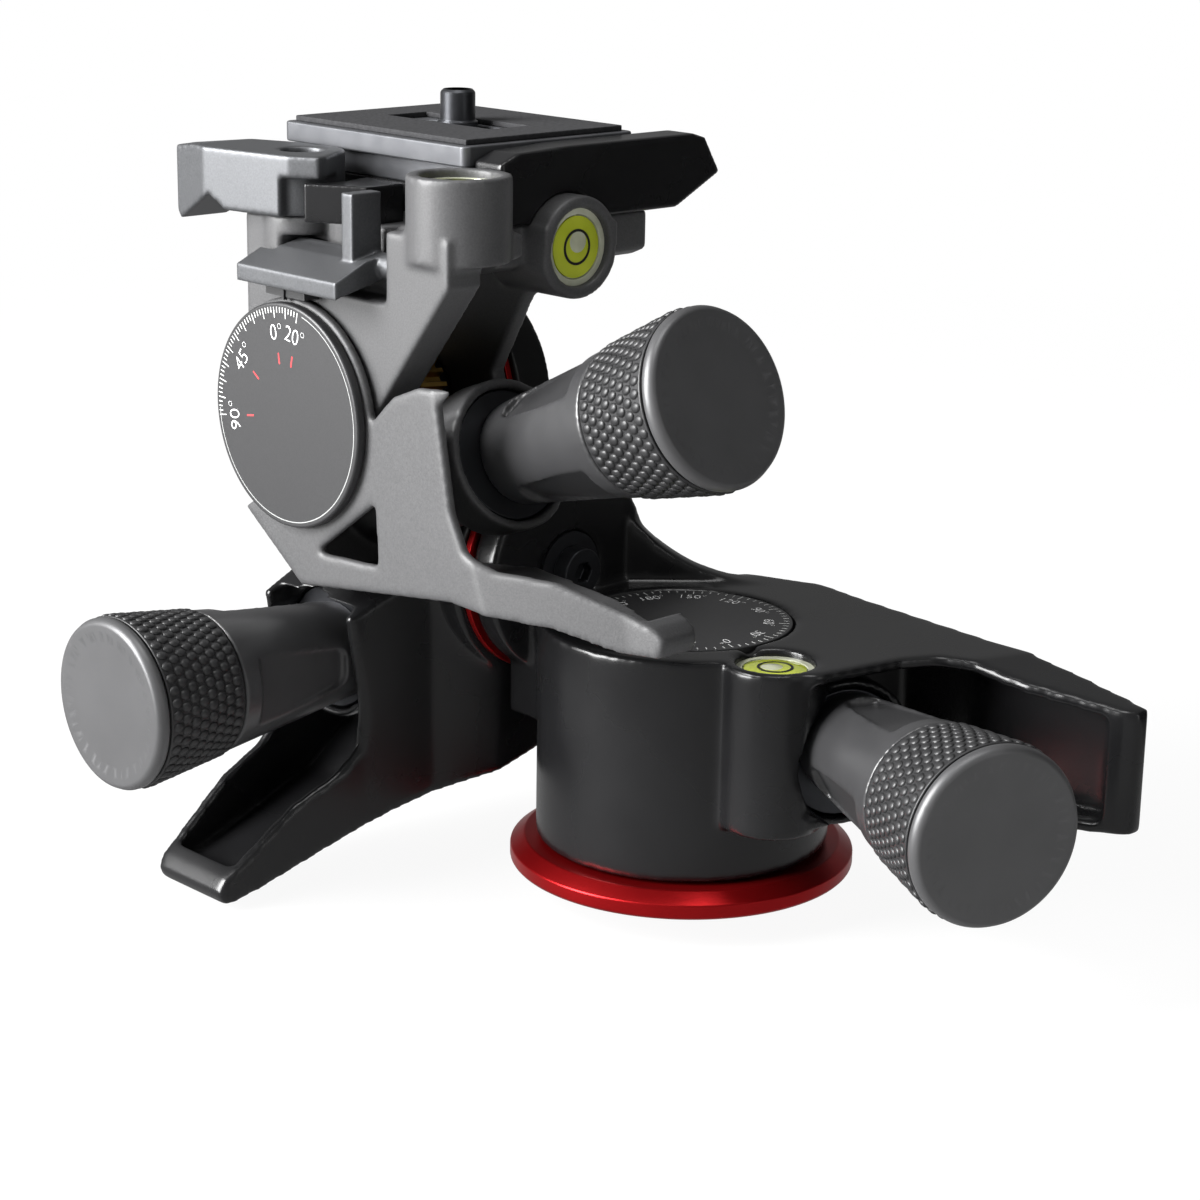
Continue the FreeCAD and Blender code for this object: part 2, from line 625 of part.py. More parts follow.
def front_housing():
    block = wing_block(FRONT_OUTER, FRONT_TOP, front_plan(0))
    block = block.cut(trough(FRONT_OUTER, front_plan(FRONT_SKIN), -6, -4.0))
    block = placed(block, "front")
    skin = rod(CHEEK_R + 0.6, (FRONT_X, FRONT_FACE, FRONT_Z), (FRONT_X, FRONT_FACE + FRONT_SKIN, FRONT_Z))
    upright = rod(UPRIGHT_R + 2.5, (UPRIGHT_FACE - 1.9, LATERAL_Y, LATERAL_Z), (60, LATERAL_Y, LATERAL_Z))
    tube = placed(tunnel_tube(), "front").cut(upright)
    body = cut(fuse([block, skin]), [lateral_form(), upright] + pan_sweep())
    body = fuse([body, tube])
    cuts = [placed(tool, "front") for tool in drive_cuts()] + bracket_sweep()
    cuts.append(rod(AXLE_R + RUN, (FRONT_X, -60, FRONT_Z), (FRONT_X, 0, FRONT_Z)))
    cuts.append(triangle_hole())
    return cut(body, cuts)


def pan_sweep():
    """Room for the pan housing's top as the head leans over it."""
    room = []
    for angle in (-20, -10, 0):
        drum = rod(PAN_R + CAVITY, (0, 0, 0), (0, 0, PAN_TOP + CAVITY))
        drum.rotate(V(0, LATERAL_Y, LATERAL_Z), V(1, 0, 0), angle)
        room.append(drum)
    return room


def triangle_hole():
    return prism([(FRONT_X + x, FRONT_Z + z) for x, z in DIAL_HOLE], "y", FRONT_FACE - 1, FRONT_FACE + FRONT_SKIN + 1)


def bracket_sweep():
    """Room for the top bracket as it tilts, from one limit to the other."""
    room = []
    for low, high in ((WEB_FRONT[0] - GAP, WEB_FRONT[1] + GAP), (WEB_BACK[0] - GAP, CHEEK_NEAR)):
        room.append(rod(WEB_SWEEP_R, (FRONT_X, low, FRONT_Z), (FRONT_X, high, FRONT_Z)))
        for angle in (0, 10, 20):
            web = prism(web_outline(GAP, 60.0), "y", low, high)
            web.rotate(V(FRONT_X, 0, FRONT_Z), V(0, 1, 0), angle)
            room.append(web)
    return room


def web_outline(grow, top):
    """Outline of the bracket's web about the front axle, up to a height above it."""
    local = [(-BRACKET_HUB_R - grow, 0), (BRACKET_LEFT - grow, 15), (BRACKET_LEFT - grow, top),
             (BRACKET_RIGHT + grow, top), (BRACKET_RIGHT + grow, 27 - grow), (10.8 + grow, -8.4 - grow)]
    return [(FRONT_X + x, FRONT_Z + z) for x, z in local]


# Rear cheek: carries the far end of the front axle
def rear_cheek():
    disc = rod(CHEEK_R, (FRONT_X, CHEEK_NEAR, FRONT_Z), (FRONT_X, CHEEK_FAR, FRONT_Z))
    foot = prism([(FRONT_X + x, FRONT_Z + z) for x, z in CHEEK_FOOT], "y", CHEEK_NEAR, CHEEK_FAR)
    body = fuse([disc, foot])
    hub = rod(HUB_R + 0.02, (HUB_BACK - 1, LATERAL_Y, LATERAL_Z), (UPRIGHT_FACE, LATERAL_Y, LATERAL_Z))
    bore = rod(AXLE_R + RUN, (FRONT_X, CHEEK_NEAR - 1, FRONT_Z), (FRONT_X, CHEEK_FAR + 1, FRONT_Z))
    clear = rod(UPRIGHT_R + UPRIGHT_ROOM, (UPRIGHT_FACE - CHEEK_SPLIT, LATERAL_Y, LATERAL_Z),
                (PAN_R, LATERAL_Y, LATERAL_Z))
    return cut(body, [hub, bore, clear])


def front_dial():
    return rod(FRONT_DIAL_R, (FRONT_X, FRONT_FACE - DIAL_T, FRONT_Z), (FRONT_X, FRONT_FACE, FRONT_Z))


# Top bracket and what turns with it
def top_bracket():
    web = prism(web_outline(0, PLATFORM_TOP - FRONT_Z), "y", *WEB_FRONT)
    hub = rod(BRACKET_HUB_R, (FRONT_X, WEB_FRONT[0], FRONT_Z), (FRONT_X, WEB_FRONT[1], FRONT_Z))
    back = prism([(FRONT_X - 15, FRONT_Z), (FRONT_X + BRACKET_LEFT, FRONT_Z + 15),
                  (FRONT_X + BRACKET_LEFT, PLATFORM_LOW + 2), (FRONT_X + 30, PLATFORM_LOW + 2),
                  (FRONT_X + 12, FRONT_Z - 4)], "y", *WEB_BACK)
    back_hub = rod(FRONT_RING_R, (FRONT_X, WEB_BACK[0], FRONT_Z), (FRONT_X, WEB_BACK[1], FRONT_Z))
    deck = prism([(FRONT_X + BRACKET_LEFT, PLATFORM_LOW), (FRONT_X + 28, PLATFORM_LOW),
                  (FRONT_X + BRACKET_RIGHT, PLATFORM_LOW + 4.4), (FRONT_X + BRACKET_RIGHT, PLATFORM_TOP),
                  (FRONT_X + BRACKET_LEFT, PLATFORM_TOP)], "y", WEB_FRONT[0], PLATE_Y + 18)
    x, y = LEVER_PIVOT
    post = rod(LEVER_HUB_R, (x, y, PLATFORM_LOW - 3), (x, y, LEVER_LOW))
    lx, ly, lz = TOP_LEVEL
    boss = rod(LEVEL_R, (lx, ly, lz - 14.6), (lx, ly, lz))
    body = fuse([web, hub, back, back_hub, deck, boss, side_barrel(0)])
    recess = box(CATCH_LEFT, CATCH_RIGHT, WEB_FRONT[0] - 1, CATCH_AXIS[0] + CATCH_ROOM, CATCH_AXIS[1] - 4.8, PLATE_TOP)
    lever_room = box(2 * LEVER_PIVOT[0], TOP_LEVEL[0] - LEVEL_R - 6.0, 2 * LEVER_PIVOT[1],
                     PLATE_Y - PLATE_LY / 2, LEVER_LOW - GAP, PLATE_TOP)
    body = fuse([cut(body, [recess, lever_room]), post])
    sx, sy, sz = SIDE_LEVEL
    cuts = [rod(AXLE_R + FIT, (FRONT_X, -60, FRONT_Z), (FRONT_X, 0, FRONT_Z))]
    cuts.append(rod(LEVEL_BORE_R + FIT, (lx, ly, lz - LEVEL_DEEP), (lx, ly, lz + 1)))
    cuts.append(rod(LEVEL_BORE_R + FIT, (sx - LEVEL_DEEP, sy, sz), (sx + 1, sy, sz)))
    cuts.append(rod(PIVOT_R + FIT, (x, y, LEVER_LOW - 4.2), (x, y, LEVER_TOP)))
    cuts.append(box(CATCH_LEFT, CATCH_RIGHT, WEB_FRONT[0] - 1, CATCH_AXIS[0] + CATCH_ROOM, PLATFORM_LOW - 4, CATCH_AXIS[1] + 2.9))
    cuts.append(rod(CATCH_PIN_R + FIT, (CATCH_LEFT - 3, *CATCH_AXIS), (CATCH_RIGHT + 3, *CATCH_AXIS)))
    return cut(body, cuts)


def side_barrel(grow):
    x, y, z = SIDE_LEVEL
    return rod(LEVEL_R + grow, (x - 16, y, z), (x, y, z))


def front_axle():
    return rod(AXLE_R, (FRONT_X, FRONT_FACE + 0.2, FRONT_Z), (FRONT_X, CHEEK_FAR - 1.0, FRONT_Z))


def front_wheel():
    return placed(worm_wheel(AXLE_R), "front")


def front_ring():
    low = WEB_BACK[1]
    ring = rod(FRONT_RING_R, (FRONT_X, low, FRONT_Z), (FRONT_X, low + RING_T, FRONT_Z))
    return ring.cut(rod(AXLE_R + FIT, (FRONT_X, low - 1, FRONT_Z), (FRONT_X, low + 5, FRONT_Z)))


def top_level():
    x, y, z = TOP_LEVEL
    return rod(LEVEL_BORE_R, (x, y, z - LEVEL_DEEP), (x, y, z - LEVEL_SUNK))


def side_level():
    x, y, z = SIDE_LEVEL
    return rod(LEVEL_BORE_R, (x - LEVEL_DEEP, y, z), (x - LEVEL_SUNK, y, z))


# Clamp: receiver with its fixed jaw, lever, catch, plate and screw
def receiver():
    x0 = PLATE_X - PLATE_LX / 2
    x1 = PLATE_X + PLATE_LX / 2
    y1 = PLATE_Y + PLATE_LY / 2
    start = TOP_LEVEL[1] + LEVEL_R + GAP
    floor = box(x0 + RECEIVER_EDGE, x1 + JAW_T - FIT, start, y1 + RECEIVER_FAR, PLATFORM_TOP, PLATE_LOW)
    near = [(start, PLATE_LOW)] + [(start + a, PLATE_LOW + b) for a, b in JAW_NEAR]
    far = [(y1 + a, PLATE_LOW + b) for a, b in JAW_FAR]
    jaw = prism(near + far + [(start, PLATFORM_TOP)], "x", x1 + GAP / 2, x1 + GAP / 2 + JAW_T)
    return cut(fuse([floor, jaw]), [side_barrel(FIT)])


def quick_plate():
    x0 = PLATE_X - PLATE_LX / 2
    x1 = PLATE_X + PLATE_LX / 2
    y0 = PLATE_Y - PLATE_LY / 2
    y1 = PLATE_Y + PLATE_LY / 2
    top = PLATE_TOP - PAD_T
    upper = box(x0, x1, y0, y1, top - PLATE_BAND, top)
    upper = upper.makeFillet(1.5, straight_edges(upper, V(0, 0, 1), lambda c: True))
    lower = box(x0 + PLATE_INSET, x1 - PLATE_INSET, y0 + PLATE_INSET, y1 - PLATE_INSET, PLATE_LOW, top - PLATE_BAND)
    length, width = PLATE_SLOT
    slot = box(PLATE_X - length, PLATE_X + length, PLATE_Y - width, PLATE_Y + width, PLATE_LOW - 1, top + 1)
    slot = slot.makeFillet(width - 0.1, straight_edges(slot, V(0, 0, 1), lambda c: True))
    recess = rod(PLATE_RECESS_R, (PLATE_X, PLATE_Y, PLATE_LOW - 1), (PLATE_X, PLATE_Y, PLATE_LOW + PLATE_RECESS))
    return cut(fuse([upper, lower]), [slot, recess])


def plate_pad():
    x0 = PLATE_X - PLATE_LX / 2 + PAD_EDGE
    x1 = PLATE_X + PLATE_LX / 2 - PAD_EDGE
    y0 = PLATE_Y - PLATE_LY / 2 + PAD_EDGE
    y1 = PLATE_Y + PLATE_LY / 2 - PAD_EDGE
    pad = box(x0, x1, y0, y1, PLATE_TOP - PAD_T, PLATE_TOP)
    length, width = PAD_SLOT
    slot = box(PLATE_X - length, PLATE_X + length, PLATE_Y - width, PLATE_Y + width, PLATE_TOP - 2 * PAD_T,
               PLATE_TOP + 1)
    return pad.cut(slot)


def camera_screw():
    seat = PLATE_LOW + SCREW_SEAT
    x, y = PLATE_X, PLATE_Y
    tip_z = PLATE_TOP + CAMERA_UP
    head = rod(SCREW_HEAD_R, (x, y, seat), (x, y, seat + SCREW_HEAD_T))
    neck = rod(CAMERA_R + SCREW_TIP, (x, y, seat), (x, y, PLATE_TOP))
    thread = rod(CAMERA_R, (x, y, PLATE_TOP - 1), (x, y, tip_z - SCREW_TIP))
    tip = cone(CAMERA_R, CAMERA_R - SCREW_TIP, (x, y, tip_z - SCREW_TIP), (x, y, tip_z))
    reach = SCREW_HEAD_R + 1
    groove = box(x - reach, x + reach, y - COIN_SLOT, y + COIN_SLOT, seat - 1, seat + COIN_DEEP)
    return cut(fuse([head, neck, thread, tip]), [groove])


def lever():
    x, y = LEVER_PIVOT
    arm = prism([(x + a, y + b) for a, b in LEVER_PLAN], "z", LEVER_LOW - LEVER_T, LEVER_TOP)
    hub = rod(LEVER_HUB_R + LEVER_WALL, (x, y, LEVER_LOW), (x, y, LEVER_TOP))
    side = prism([(x + a, LEVER_LOW + b) for a, b in LEVER_SIDE], "y", y - 2 * LEVER_T, y + 2 * LEVER_T)
    body = fuse([arm.common(side), hub])
    pocket = rod(LEVER_POCKET_R, (x, y, LEVER_TOP - LEVER_POCKET), (x, y, LEVER_TOP + 1))
    pin = rod(PIVOT_R + RUN, (x, y, LEVER_LOW - 1), (x, y, LEVER_TOP))
    return cut(body, [pocket, pin])


def lever_screw():
    x, y = LEVER_PIVOT
    shank = rod(PIVOT_R, (x, y, LEVER_LOW - 4.2), (x, y, LEVER_TOP - LEVER_POCKET))
    head = rod(LEVER_POCKET_R - GAP, (x, y, LEVER_TOP - LEVER_POCKET), (x, y, LEVER_TOP - LEVER_POCKET * 0.4))
    return fuse([shank, head])


def catch():
    y, z = CATCH_AXIS
    tab = prism([(y + a, z + b) for a, b in CATCH_TAB], "x", CATCH_LEFT - 3.5, CATCH_RIGHT - 4.5)
    slim = box(CATCH_LEFT - 4, CATCH_LEFT + GAP, WEB_FRONT[0] - CATCH_FRONT, y + 5, z - 10, z + 10)
    barrel = rod(CATCH_BARREL_R, (CATCH_LEFT + GAP, y, z), (CATCH_RIGHT - GAP, y, z))
    left, right, near, far, tall = CATCH_ARM
    arm = box(FRONT_X + left, FRONT_X + right, y + near, y + far, z, z + tall)
    body = fuse([tab.cut(slim), barrel, arm])
    return cut(body, [rod(CATCH_PIN_R + RUN, (CATCH_LEFT - 1, y, z), (CATCH_RIGHT + 1, y, z))])


def catch_pin():
    y, z = CATCH_AXIS
    return rod(CATCH_PIN_R, (CATCH_LEFT - 3, y, z), (CATCH_RIGHT + 3, y, z))


def safety_block():
    x, y = LEVER_PIVOT
    block = prism([(x + a, y + b) for a, b in STOP_PLAN], "z", LEVER_LOW - GAP, LEVER_LOW + STOP_H)
    return block.cut(rod(LEVER_HUB_R + STOP_ROOM, (x, y, LEVER_LOW - 1), (x, y, LEVER_TOP)))


parts = {
    "base_ring": base_ring(),
    "pan_worm_wheel": pan_wheel(),
    "pan_retaining_washer": pan_washer(),
    "pan_lock_nut": pan_nut(),
    "pan_dial": pan_dial(),
    "pan_housing": pan_housing(),
    "pan_level": pan_level(),
    "lateral_axle": lateral_axle(),
    "lateral_axle_bolt": lateral_bolt(),
    "lateral_friction_ring": lateral_ring(),
    "lateral_worm_wheel": lateral_wheel(),
    "lateral_lock_nut": lateral_nut(),
    "lateral_dial": lateral_dial(),
    "lateral_housing": lateral_housing(),
    "front_housing": front_housing(),
    "rear_cheek": rear_cheek(),
    "front_dial": front_dial(),
    "top_bracket": top_bracket(),
    "front_axle": front_axle(),
    "front_worm_wheel": front_wheel(),
    "front_friction_ring": front_ring(),
    "top_level": top_level(),
    "side_level": side_level(),
    "plate_receiver": receiver(),
    "quick_release_plate": quick_plate(),
    "plate_pad": plate_pad(),
    "camera_screw": camera_screw(),
    "clamp_lever": lever(),
    "lever_pivot_screw": lever_screw(),
    "safety_catch": catch(),
    "catch_pin": catch_pin(),
    "lever_stop": safety_block(),
}

worm = worm_shaft()
sleeve = worm_sleeve()
collar = release_collar()
grip = knob_grip()
cap = knob_cap()
for unit in UNITS:
    parts[unit + "_worm_shaft"] = placed(worm, unit)
    parts[unit + "_worm_sleeve"] = placed(sleeve, unit)
    parts[unit + "_release_collar"] = placed(collar, unit)
    parts[unit + "_knob_grip"] = placed(grip, unit)
    parts[unit + "_knob_cap"] = placed(cap, unit)

for name, shape in parts.items():
    shape.exportStep("parts/" + name + ".step")
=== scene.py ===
import bmesh
import bpy
import json
import math
from mathutils import Matrix, Vector


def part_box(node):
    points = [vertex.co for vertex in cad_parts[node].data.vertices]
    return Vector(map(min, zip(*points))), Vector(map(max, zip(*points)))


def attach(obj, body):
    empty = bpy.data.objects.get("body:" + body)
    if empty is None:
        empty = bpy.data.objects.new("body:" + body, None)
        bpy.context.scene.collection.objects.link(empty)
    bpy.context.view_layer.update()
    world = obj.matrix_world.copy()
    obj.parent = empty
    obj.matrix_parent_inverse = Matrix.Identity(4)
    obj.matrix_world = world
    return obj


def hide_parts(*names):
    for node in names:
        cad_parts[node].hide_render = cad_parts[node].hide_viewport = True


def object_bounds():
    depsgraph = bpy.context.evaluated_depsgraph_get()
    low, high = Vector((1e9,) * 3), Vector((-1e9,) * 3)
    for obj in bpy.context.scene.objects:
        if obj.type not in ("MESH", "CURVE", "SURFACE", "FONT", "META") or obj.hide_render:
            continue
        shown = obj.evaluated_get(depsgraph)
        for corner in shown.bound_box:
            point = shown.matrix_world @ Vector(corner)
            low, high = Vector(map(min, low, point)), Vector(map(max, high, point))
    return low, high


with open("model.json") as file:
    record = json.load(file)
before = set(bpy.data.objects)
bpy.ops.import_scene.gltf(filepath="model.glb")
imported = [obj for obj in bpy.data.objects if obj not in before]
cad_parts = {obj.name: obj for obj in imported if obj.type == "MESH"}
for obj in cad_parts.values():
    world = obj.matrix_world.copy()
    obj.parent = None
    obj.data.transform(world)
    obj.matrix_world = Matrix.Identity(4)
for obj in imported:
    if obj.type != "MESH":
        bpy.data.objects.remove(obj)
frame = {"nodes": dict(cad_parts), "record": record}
cad_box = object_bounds()
scene = bpy.context.scene
MM = 0.001

# Base disc: turned from aluminium bar, satin finished and dyed red in the anodising bath.
# It screws to the tripod, and the whole head turns on its spindle.


def linear(code):
    """An sRGB colour written as hex, as the linear values a shader takes."""
    shades = [int(code[i:i + 2], 16) / 255 for i in (1, 3, 5)]
    return [s / 12.92 if s <= 0.04045 else ((s + 0.055) / 1.055) ** 2.4 for s in shades] + [1.0]


def add(tree, kind, settings=None, inputs=None):
    """Adds a node, sets it, and gives each input a value or links it to another node's output."""
    made = tree.nodes.new(kind)
    for name, value in (settings or {}).items():
        setattr(made, name, value)
    for key, value in (inputs or {}).items():
        if isinstance(value, bpy.types.NodeSocket):
            tree.links.new(value, made.inputs[key])
        else:
            made.inputs[key].default_value = value
    return made


def surface(name, **sockets):
    """A new material, with the shader's own sockets set by name."""
    material = bpy.data.materials.new(name)
    material.use_nodes = True
    shader = material.node_tree.nodes["Principled BSDF"]
    for key, value in sockets.items():
        shader.inputs[key.replace("_", " ")].default_value = value
    return material, material.node_tree, shader


body_of = {n: b for b, nodes in frame["record"]["behaviour"]["bodies"].items() for n in nodes}


def slab(work, outline, low, high):
    """Adds a closed bar to a mesh: an outline in Y and Z, given in mm, carried from low to high along X."""
    near = [work.verts.new((low * MM, y * MM, z * MM)) for y, z in outline]
    far = [work.verts.new((high * MM, y * MM, z * MM)) for y, z in outline]
    faces = [work.faces.new(near), work.faces.new(list(reversed(far)))]
    for k in range(len(outline)):
        j = (k + 1) % len(outline)
        faces.append(work.faces.new((near[j], near[k], far[k], far[j])))
    bmesh.ops.recalc_face_normals(work, faces=faces)


def softened(node, material, edge, sharp=28, cast=0, bars=(), trims=()):
    """A copy of a solid with its edges rounded. A casting is remade in small cells and relaxed, which
    rounds its edges and fills its inner corners as a mould does; other pieces get a narrow bevel.
    Bars are added to a casting first, and trims are cut from it, both as outline, low and high."""
    mesh = frame["nodes"][node].data.copy()
    work = bmesh.new()
    work.from_mesh(mesh)
    bmesh.ops.remove_doubles(work, verts=work.verts, dist=2e-6)
    bmesh.ops.dissolve_limit(work, angle_limit=math.radians(0.4), verts=work.verts, edges=work.edges)
    for face in work.faces:
        face.smooth = True
    for outline, low, high in bars:
        slab(work, outline, low, high)
    work.to_mesh(mesh)
    work.free()
    mesh.materials.clear()
    mesh.materials.append(material)
    piece = bpy.data.objects.new(node + "_finished", mesh)
    scene.collection.objects.link(piece)
    cutters = []
    for outline, low, high in trims:
        work = bmesh.new()
        slab(work, outline, low, high)
        tool = bpy.data.objects.new("cutter", bpy.data.meshes.new("cutter"))
        work.to_mesh(tool.data)
        work.free()
        scene.collection.objects.link(tool)
        taken = piece.modifiers.new("trimmed", "BOOLEAN")
        taken.operation = "DIFFERENCE"
        taken.object = tool
        cutters.append(tool)
    if cast:
        cells = piece.modifiers.new("cells", "REMESH")
        cells.mode = "VOXEL"
        cells.voxel_size = edge
        cells.use_smooth_shade = True
        relaxed = piece.modifiers.new("relaxed", "SMOOTH")
        relaxed.factor = 0.5
        relaxed.iterations = cast
    else:
        bevel = piece.modifiers.new("rounded edges", "BEVEL")
        bevel.width = edge
        bevel.segments = 2
        bevel.limit_method = "ANGLE"
        bevel.angle_limit = math.radians(sharp)
        bevel.use_clamp_overlap = False
    normals = piece.modifiers.new("even shading", "WEIGHTED_NORMAL")
    normals.keep_sharp = True
    bpy.context.view_layer.update()
    shaped = piece.evaluated_get(bpy.context.evaluated_depsgraph_get())
    piece.data = bpy.data.meshes.new_from_object(shaped)
    piece.modifiers.clear()
    for tool in cutters:
        bpy.data.objects.remove(tool)
    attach(piece, body_of[node])
    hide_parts(node)


# Anodised aluminium: a dyed oxide film over turned metal, so the metal's gloss shows red.
red_anodised, tree, shader = surface("red anodised aluminium, turned", Metallic=0.85, Roughness=0.3)
place = add(tree, "ShaderNodeTexCoord").outputs["Object"]
radius = add(tree, "ShaderNodeVectorMath", {"operation": "LENGTH"}, {0: place}).outputs["Value"]
# Tool marks: rings about 0.12 mm apart
marks = add(tree, "ShaderNodeTexNoise", {"noise_dimensions": "1D"}, {"W": radius, "Scale": 8000.0, "Detail": 2.0})
dye = add(tree, "ShaderNodeTexNoise", None, {"Vector": place, "Scale": 70.0, "Detail": 3.0})
tint = add(tree, "ShaderNodeMix", {"data_type": "RGBA"},
           {"Factor": dye.outputs["Fac"], "A": linear("#8C0B10"), "B": linear("#AB1518")})
tree.links.new(tint.outputs["Result"], shader.inputs["Base Color"])
bump = add(tree, "ShaderNodeBump", None, {"Height": marks.outputs["Fac"], "Strength": 0.12, "Distance": 0.00005})
tree.links.new(bump.outputs["Normal"], shader.inputs["Normal"])
softened("base_ring", red_anodised, 0.25 * MM)

# Pan drive inside the drum: a hobbed brass wheel, a steel washer and the nut that holds the head down.
# They show only where the housings are cut away, and keep their machined finish.

# Cast brass, hobbed: a warm metal with the cutter's streaks
brass, tree, shader = surface("hobbed brass", Metallic=1.0)
shader.inputs["Base Color"].default_value = linear("#C9A45A")
place = add(tree, "ShaderNodeTexCoord").outputs["Object"]
streaks = add(tree, "ShaderNodeTexNoise", None, {"Vector": place, "Scale": 900.0, "Detail": 4.0})
rough = add(tree, "ShaderNodeMapRange", None, {"Value": streaks.outputs["Fac"], "To Min": 0.22, "To Max": 0.42})
tree.links.new(rough.outputs["Result"], shader.inputs["Roughness"])

# Carbon steel, turned and oiled: grey metal with soft reflections
steel, tree, shader = surface("turned steel", Metallic=1.0)
shader.inputs["Base Color"].default_value = linear("#8C8D90")
place = add(tree, "ShaderNodeTexCoord").outputs["Object"]
grain = add(tree, "ShaderNodeTexNoise", None, {"Vector": place, "Scale": 1600.0, "Detail": 3.0})
rough = add(tree, "ShaderNodeMapRange", None, {"Value": grain.outputs["Fac"], "To Min": 0.24, "To Max": 0.4})
tree.links.new(rough.outputs["Result"], shader.inputs["Roughness"])


def coat(node, material):
    """Gives a solid that stays as it is its real finish."""
    mesh = frame["nodes"][node].data
    mesh.materials.clear()
    mesh.materials.append(material)


for node in ("pan_worm_wheel", "lateral_worm_wheel", "front_worm_wheel"):
    coat(node, brass)
for node in ("pan_retaining_washer", "pan_lock_nut", "lateral_lock_nut"):
    coat(node, steel)

# Pan housing: cast in one piece with its wing, the level's boss and the upright, then coated black.
# The coat is a thin semi-gloss powder with a slight orange peel.

# Powder coat over die cast aluminium: near black, with broad soft highlights
black_coat, tree, shader = surface("black powder coat, semi-gloss", Specular_IOR_Level=0.42)
place = add(tree, "ShaderNodeTexCoord").outputs["Object"]
# Orange peel about 0.5 mm across
peel = add(tree, "ShaderNodeTexNoise", None, {"Vector": place, "Scale": 2000.0, "Detail": 2.0})
rubbed = add(tree, "ShaderNodeTexNoise", None, {"Vector": place, "Scale": 45.0, "Detail": 4.0})
tint = add(tree, "ShaderNodeMix", {"data_type": "RGBA"},
           {"Factor": rubbed.outputs["Fac"], "A": linear("#0D0D0E"), "B": linear("#161617")})
tree.links.new(tint.outputs["Result"], shader.inputs["Base Color"])
rough = add(tree, "ShaderNodeMapRange", None, {"Value": rubbed.outputs["Fac"], "To Min": 0.2, "To Max": 0.34})
tree.links.new(rough.outputs["Result"], shader.inputs["Roughness"])
bump = add(tree, "ShaderNodeBump", None, {"Height": peel.outputs["Fac"], "Strength": 0.1, "Distance": 0.00006})
tree.links.new(bump.outputs["Normal"], shader.inputs["Normal"])
softened("pan_housing", black_coat, 0.59 * MM, cast=18)

# Pan dial: a moulded disc in the drum's top, with its degree marks and numbers printed in pale ink.
# It stays with the base while the housing turns round it.

# Moulded ABS: satin black with a very fine spark-eroded grain
black_abs, tree, shader = surface("moulded black plastic, satin", Roughness=0.42)
place = add(tree, "ShaderNodeTexCoord").outputs["Object"]
grain = add(tree, "ShaderNodeTexNoise", None, {"Vector": place, "Scale": 3500.0, "Detail": 2.0})
tint = add(tree, "ShaderNodeMix", {"data_type": "RGBA"},
           {"Factor": grain.outputs["Fac"], "A": linear("#1F1F20"), "B": linear("#2C2C2D")})
tree.links.new(tint.outputs["Result"], shader.inputs["Base Color"])
bump = add(tree, "ShaderNodeBump", None, {"Height": grain.outputs["Fac"], "Strength": 0.15, "Distance": 0.00004})
tree.links.new(bump.outputs["Normal"], shader.inputs["Normal"])


def ink(name, code):
    """Pad printed ink: flat, matt and a little uneven where the pad let go."""
    material, tree, shader = surface(name, Roughness=0.6)
    place = add(tree, "ShaderNodeTexCoord").outputs["Object"]
    uneven = add(tree, "ShaderNodeTexNoise", None, {"Vector": place, "Scale": 2500.0})
    colour = linear(code)
    thin = [c * 0.8 for c in colour[:3]] + [1.0]
    tint = add(tree, "ShaderNodeMix", {"data_type": "RGBA"},
               {"Factor": uneven.outputs["Fac"], "A": thin, "B": colour})
    tree.links.new(tint.outputs["Result"], shader.inputs["Base Color"])
    return material


pale_ink = ink("pale printing ink", "#D5D6D4")
red_ink = ink("red printing ink", "#C2252A")

marks = bpy.data.node_groups.new("marks round a dial", "GeometryNodeTree")
for name, kind in (("Geometry", "Geometry"), ("Count", "Int"), ("First", "Float"), ("Step", "Float"),
                   ("Outer radius", "Float"), ("Short", "Float"), ("Long", "Float"), ("Every", "Float"),
                   ("Width", "Float"), ("Proud", "Float"), ("Ink", "Material")):
    marks.interface.new_socket(name, in_out="INPUT", socket_type="NodeSocket" + kind)
marks.interface.new_socket("Geometry", in_out="OUTPUT", socket_type="NodeSocketGeometry")
given = add(marks, "NodeGroupInput").outputs
index = add(marks, "GeometryNodeInputIndex").outputs["Index"]
line = add(marks, "GeometryNodeMeshLine", None, {"Count": given["Count"]})
sweep = add(marks, "ShaderNodeMath", {"operation": "MULTIPLY_ADD"},
            {0: index, 1: given["Step"], 2: given["First"]}).outputs[0]
left = add(marks, "ShaderNodeMath", {"operation": "FLOORED_MODULO"}, {0: index, 1: given["Every"]}).outputs[0]
minor = add(marks, "ShaderNodeMath", {"operation": "GREATER_THAN"}, {0: left, 1: 0.5}).outputs[0]
length = add(marks, "ShaderNodeMix", {"data_type": "FLOAT"},
             {"Factor": minor, 2: given["Long"], 3: given["Short"]}).outputs[0]
middle = add(marks, "ShaderNodeMath", {"operation": "MULTIPLY_ADD"},
             {0: length, 1: -0.5, 2: given["Outer radius"]}).outputs[0]
cosine = add(marks, "ShaderNodeMath", {"operation": "COSINE"}, {0: sweep}).outputs[0]
sine = add(marks, "ShaderNodeMath", {"operation": "SINE"}, {0: sweep}).outputs[0]
x = add(marks, "ShaderNodeMath", {"operation": "MULTIPLY"}, {0: middle, 1: cosine}).outputs[0]
y = add(marks, "ShaderNodeMath", {"operation": "MULTIPLY"}, {0: middle, 1: sine}).outputs[0]
spot = add(marks, "ShaderNodeCombineXYZ", None, {"X": x, "Y": y}).outputs[0]
turn = add(marks, "ShaderNodeCombineXYZ", None, {"Z": sweep}).outputs[0]
size = add(marks, "ShaderNodeCombineXYZ", None, {"X": length, "Y": given["Width"], "Z": given["Proud"]}).outputs[0]
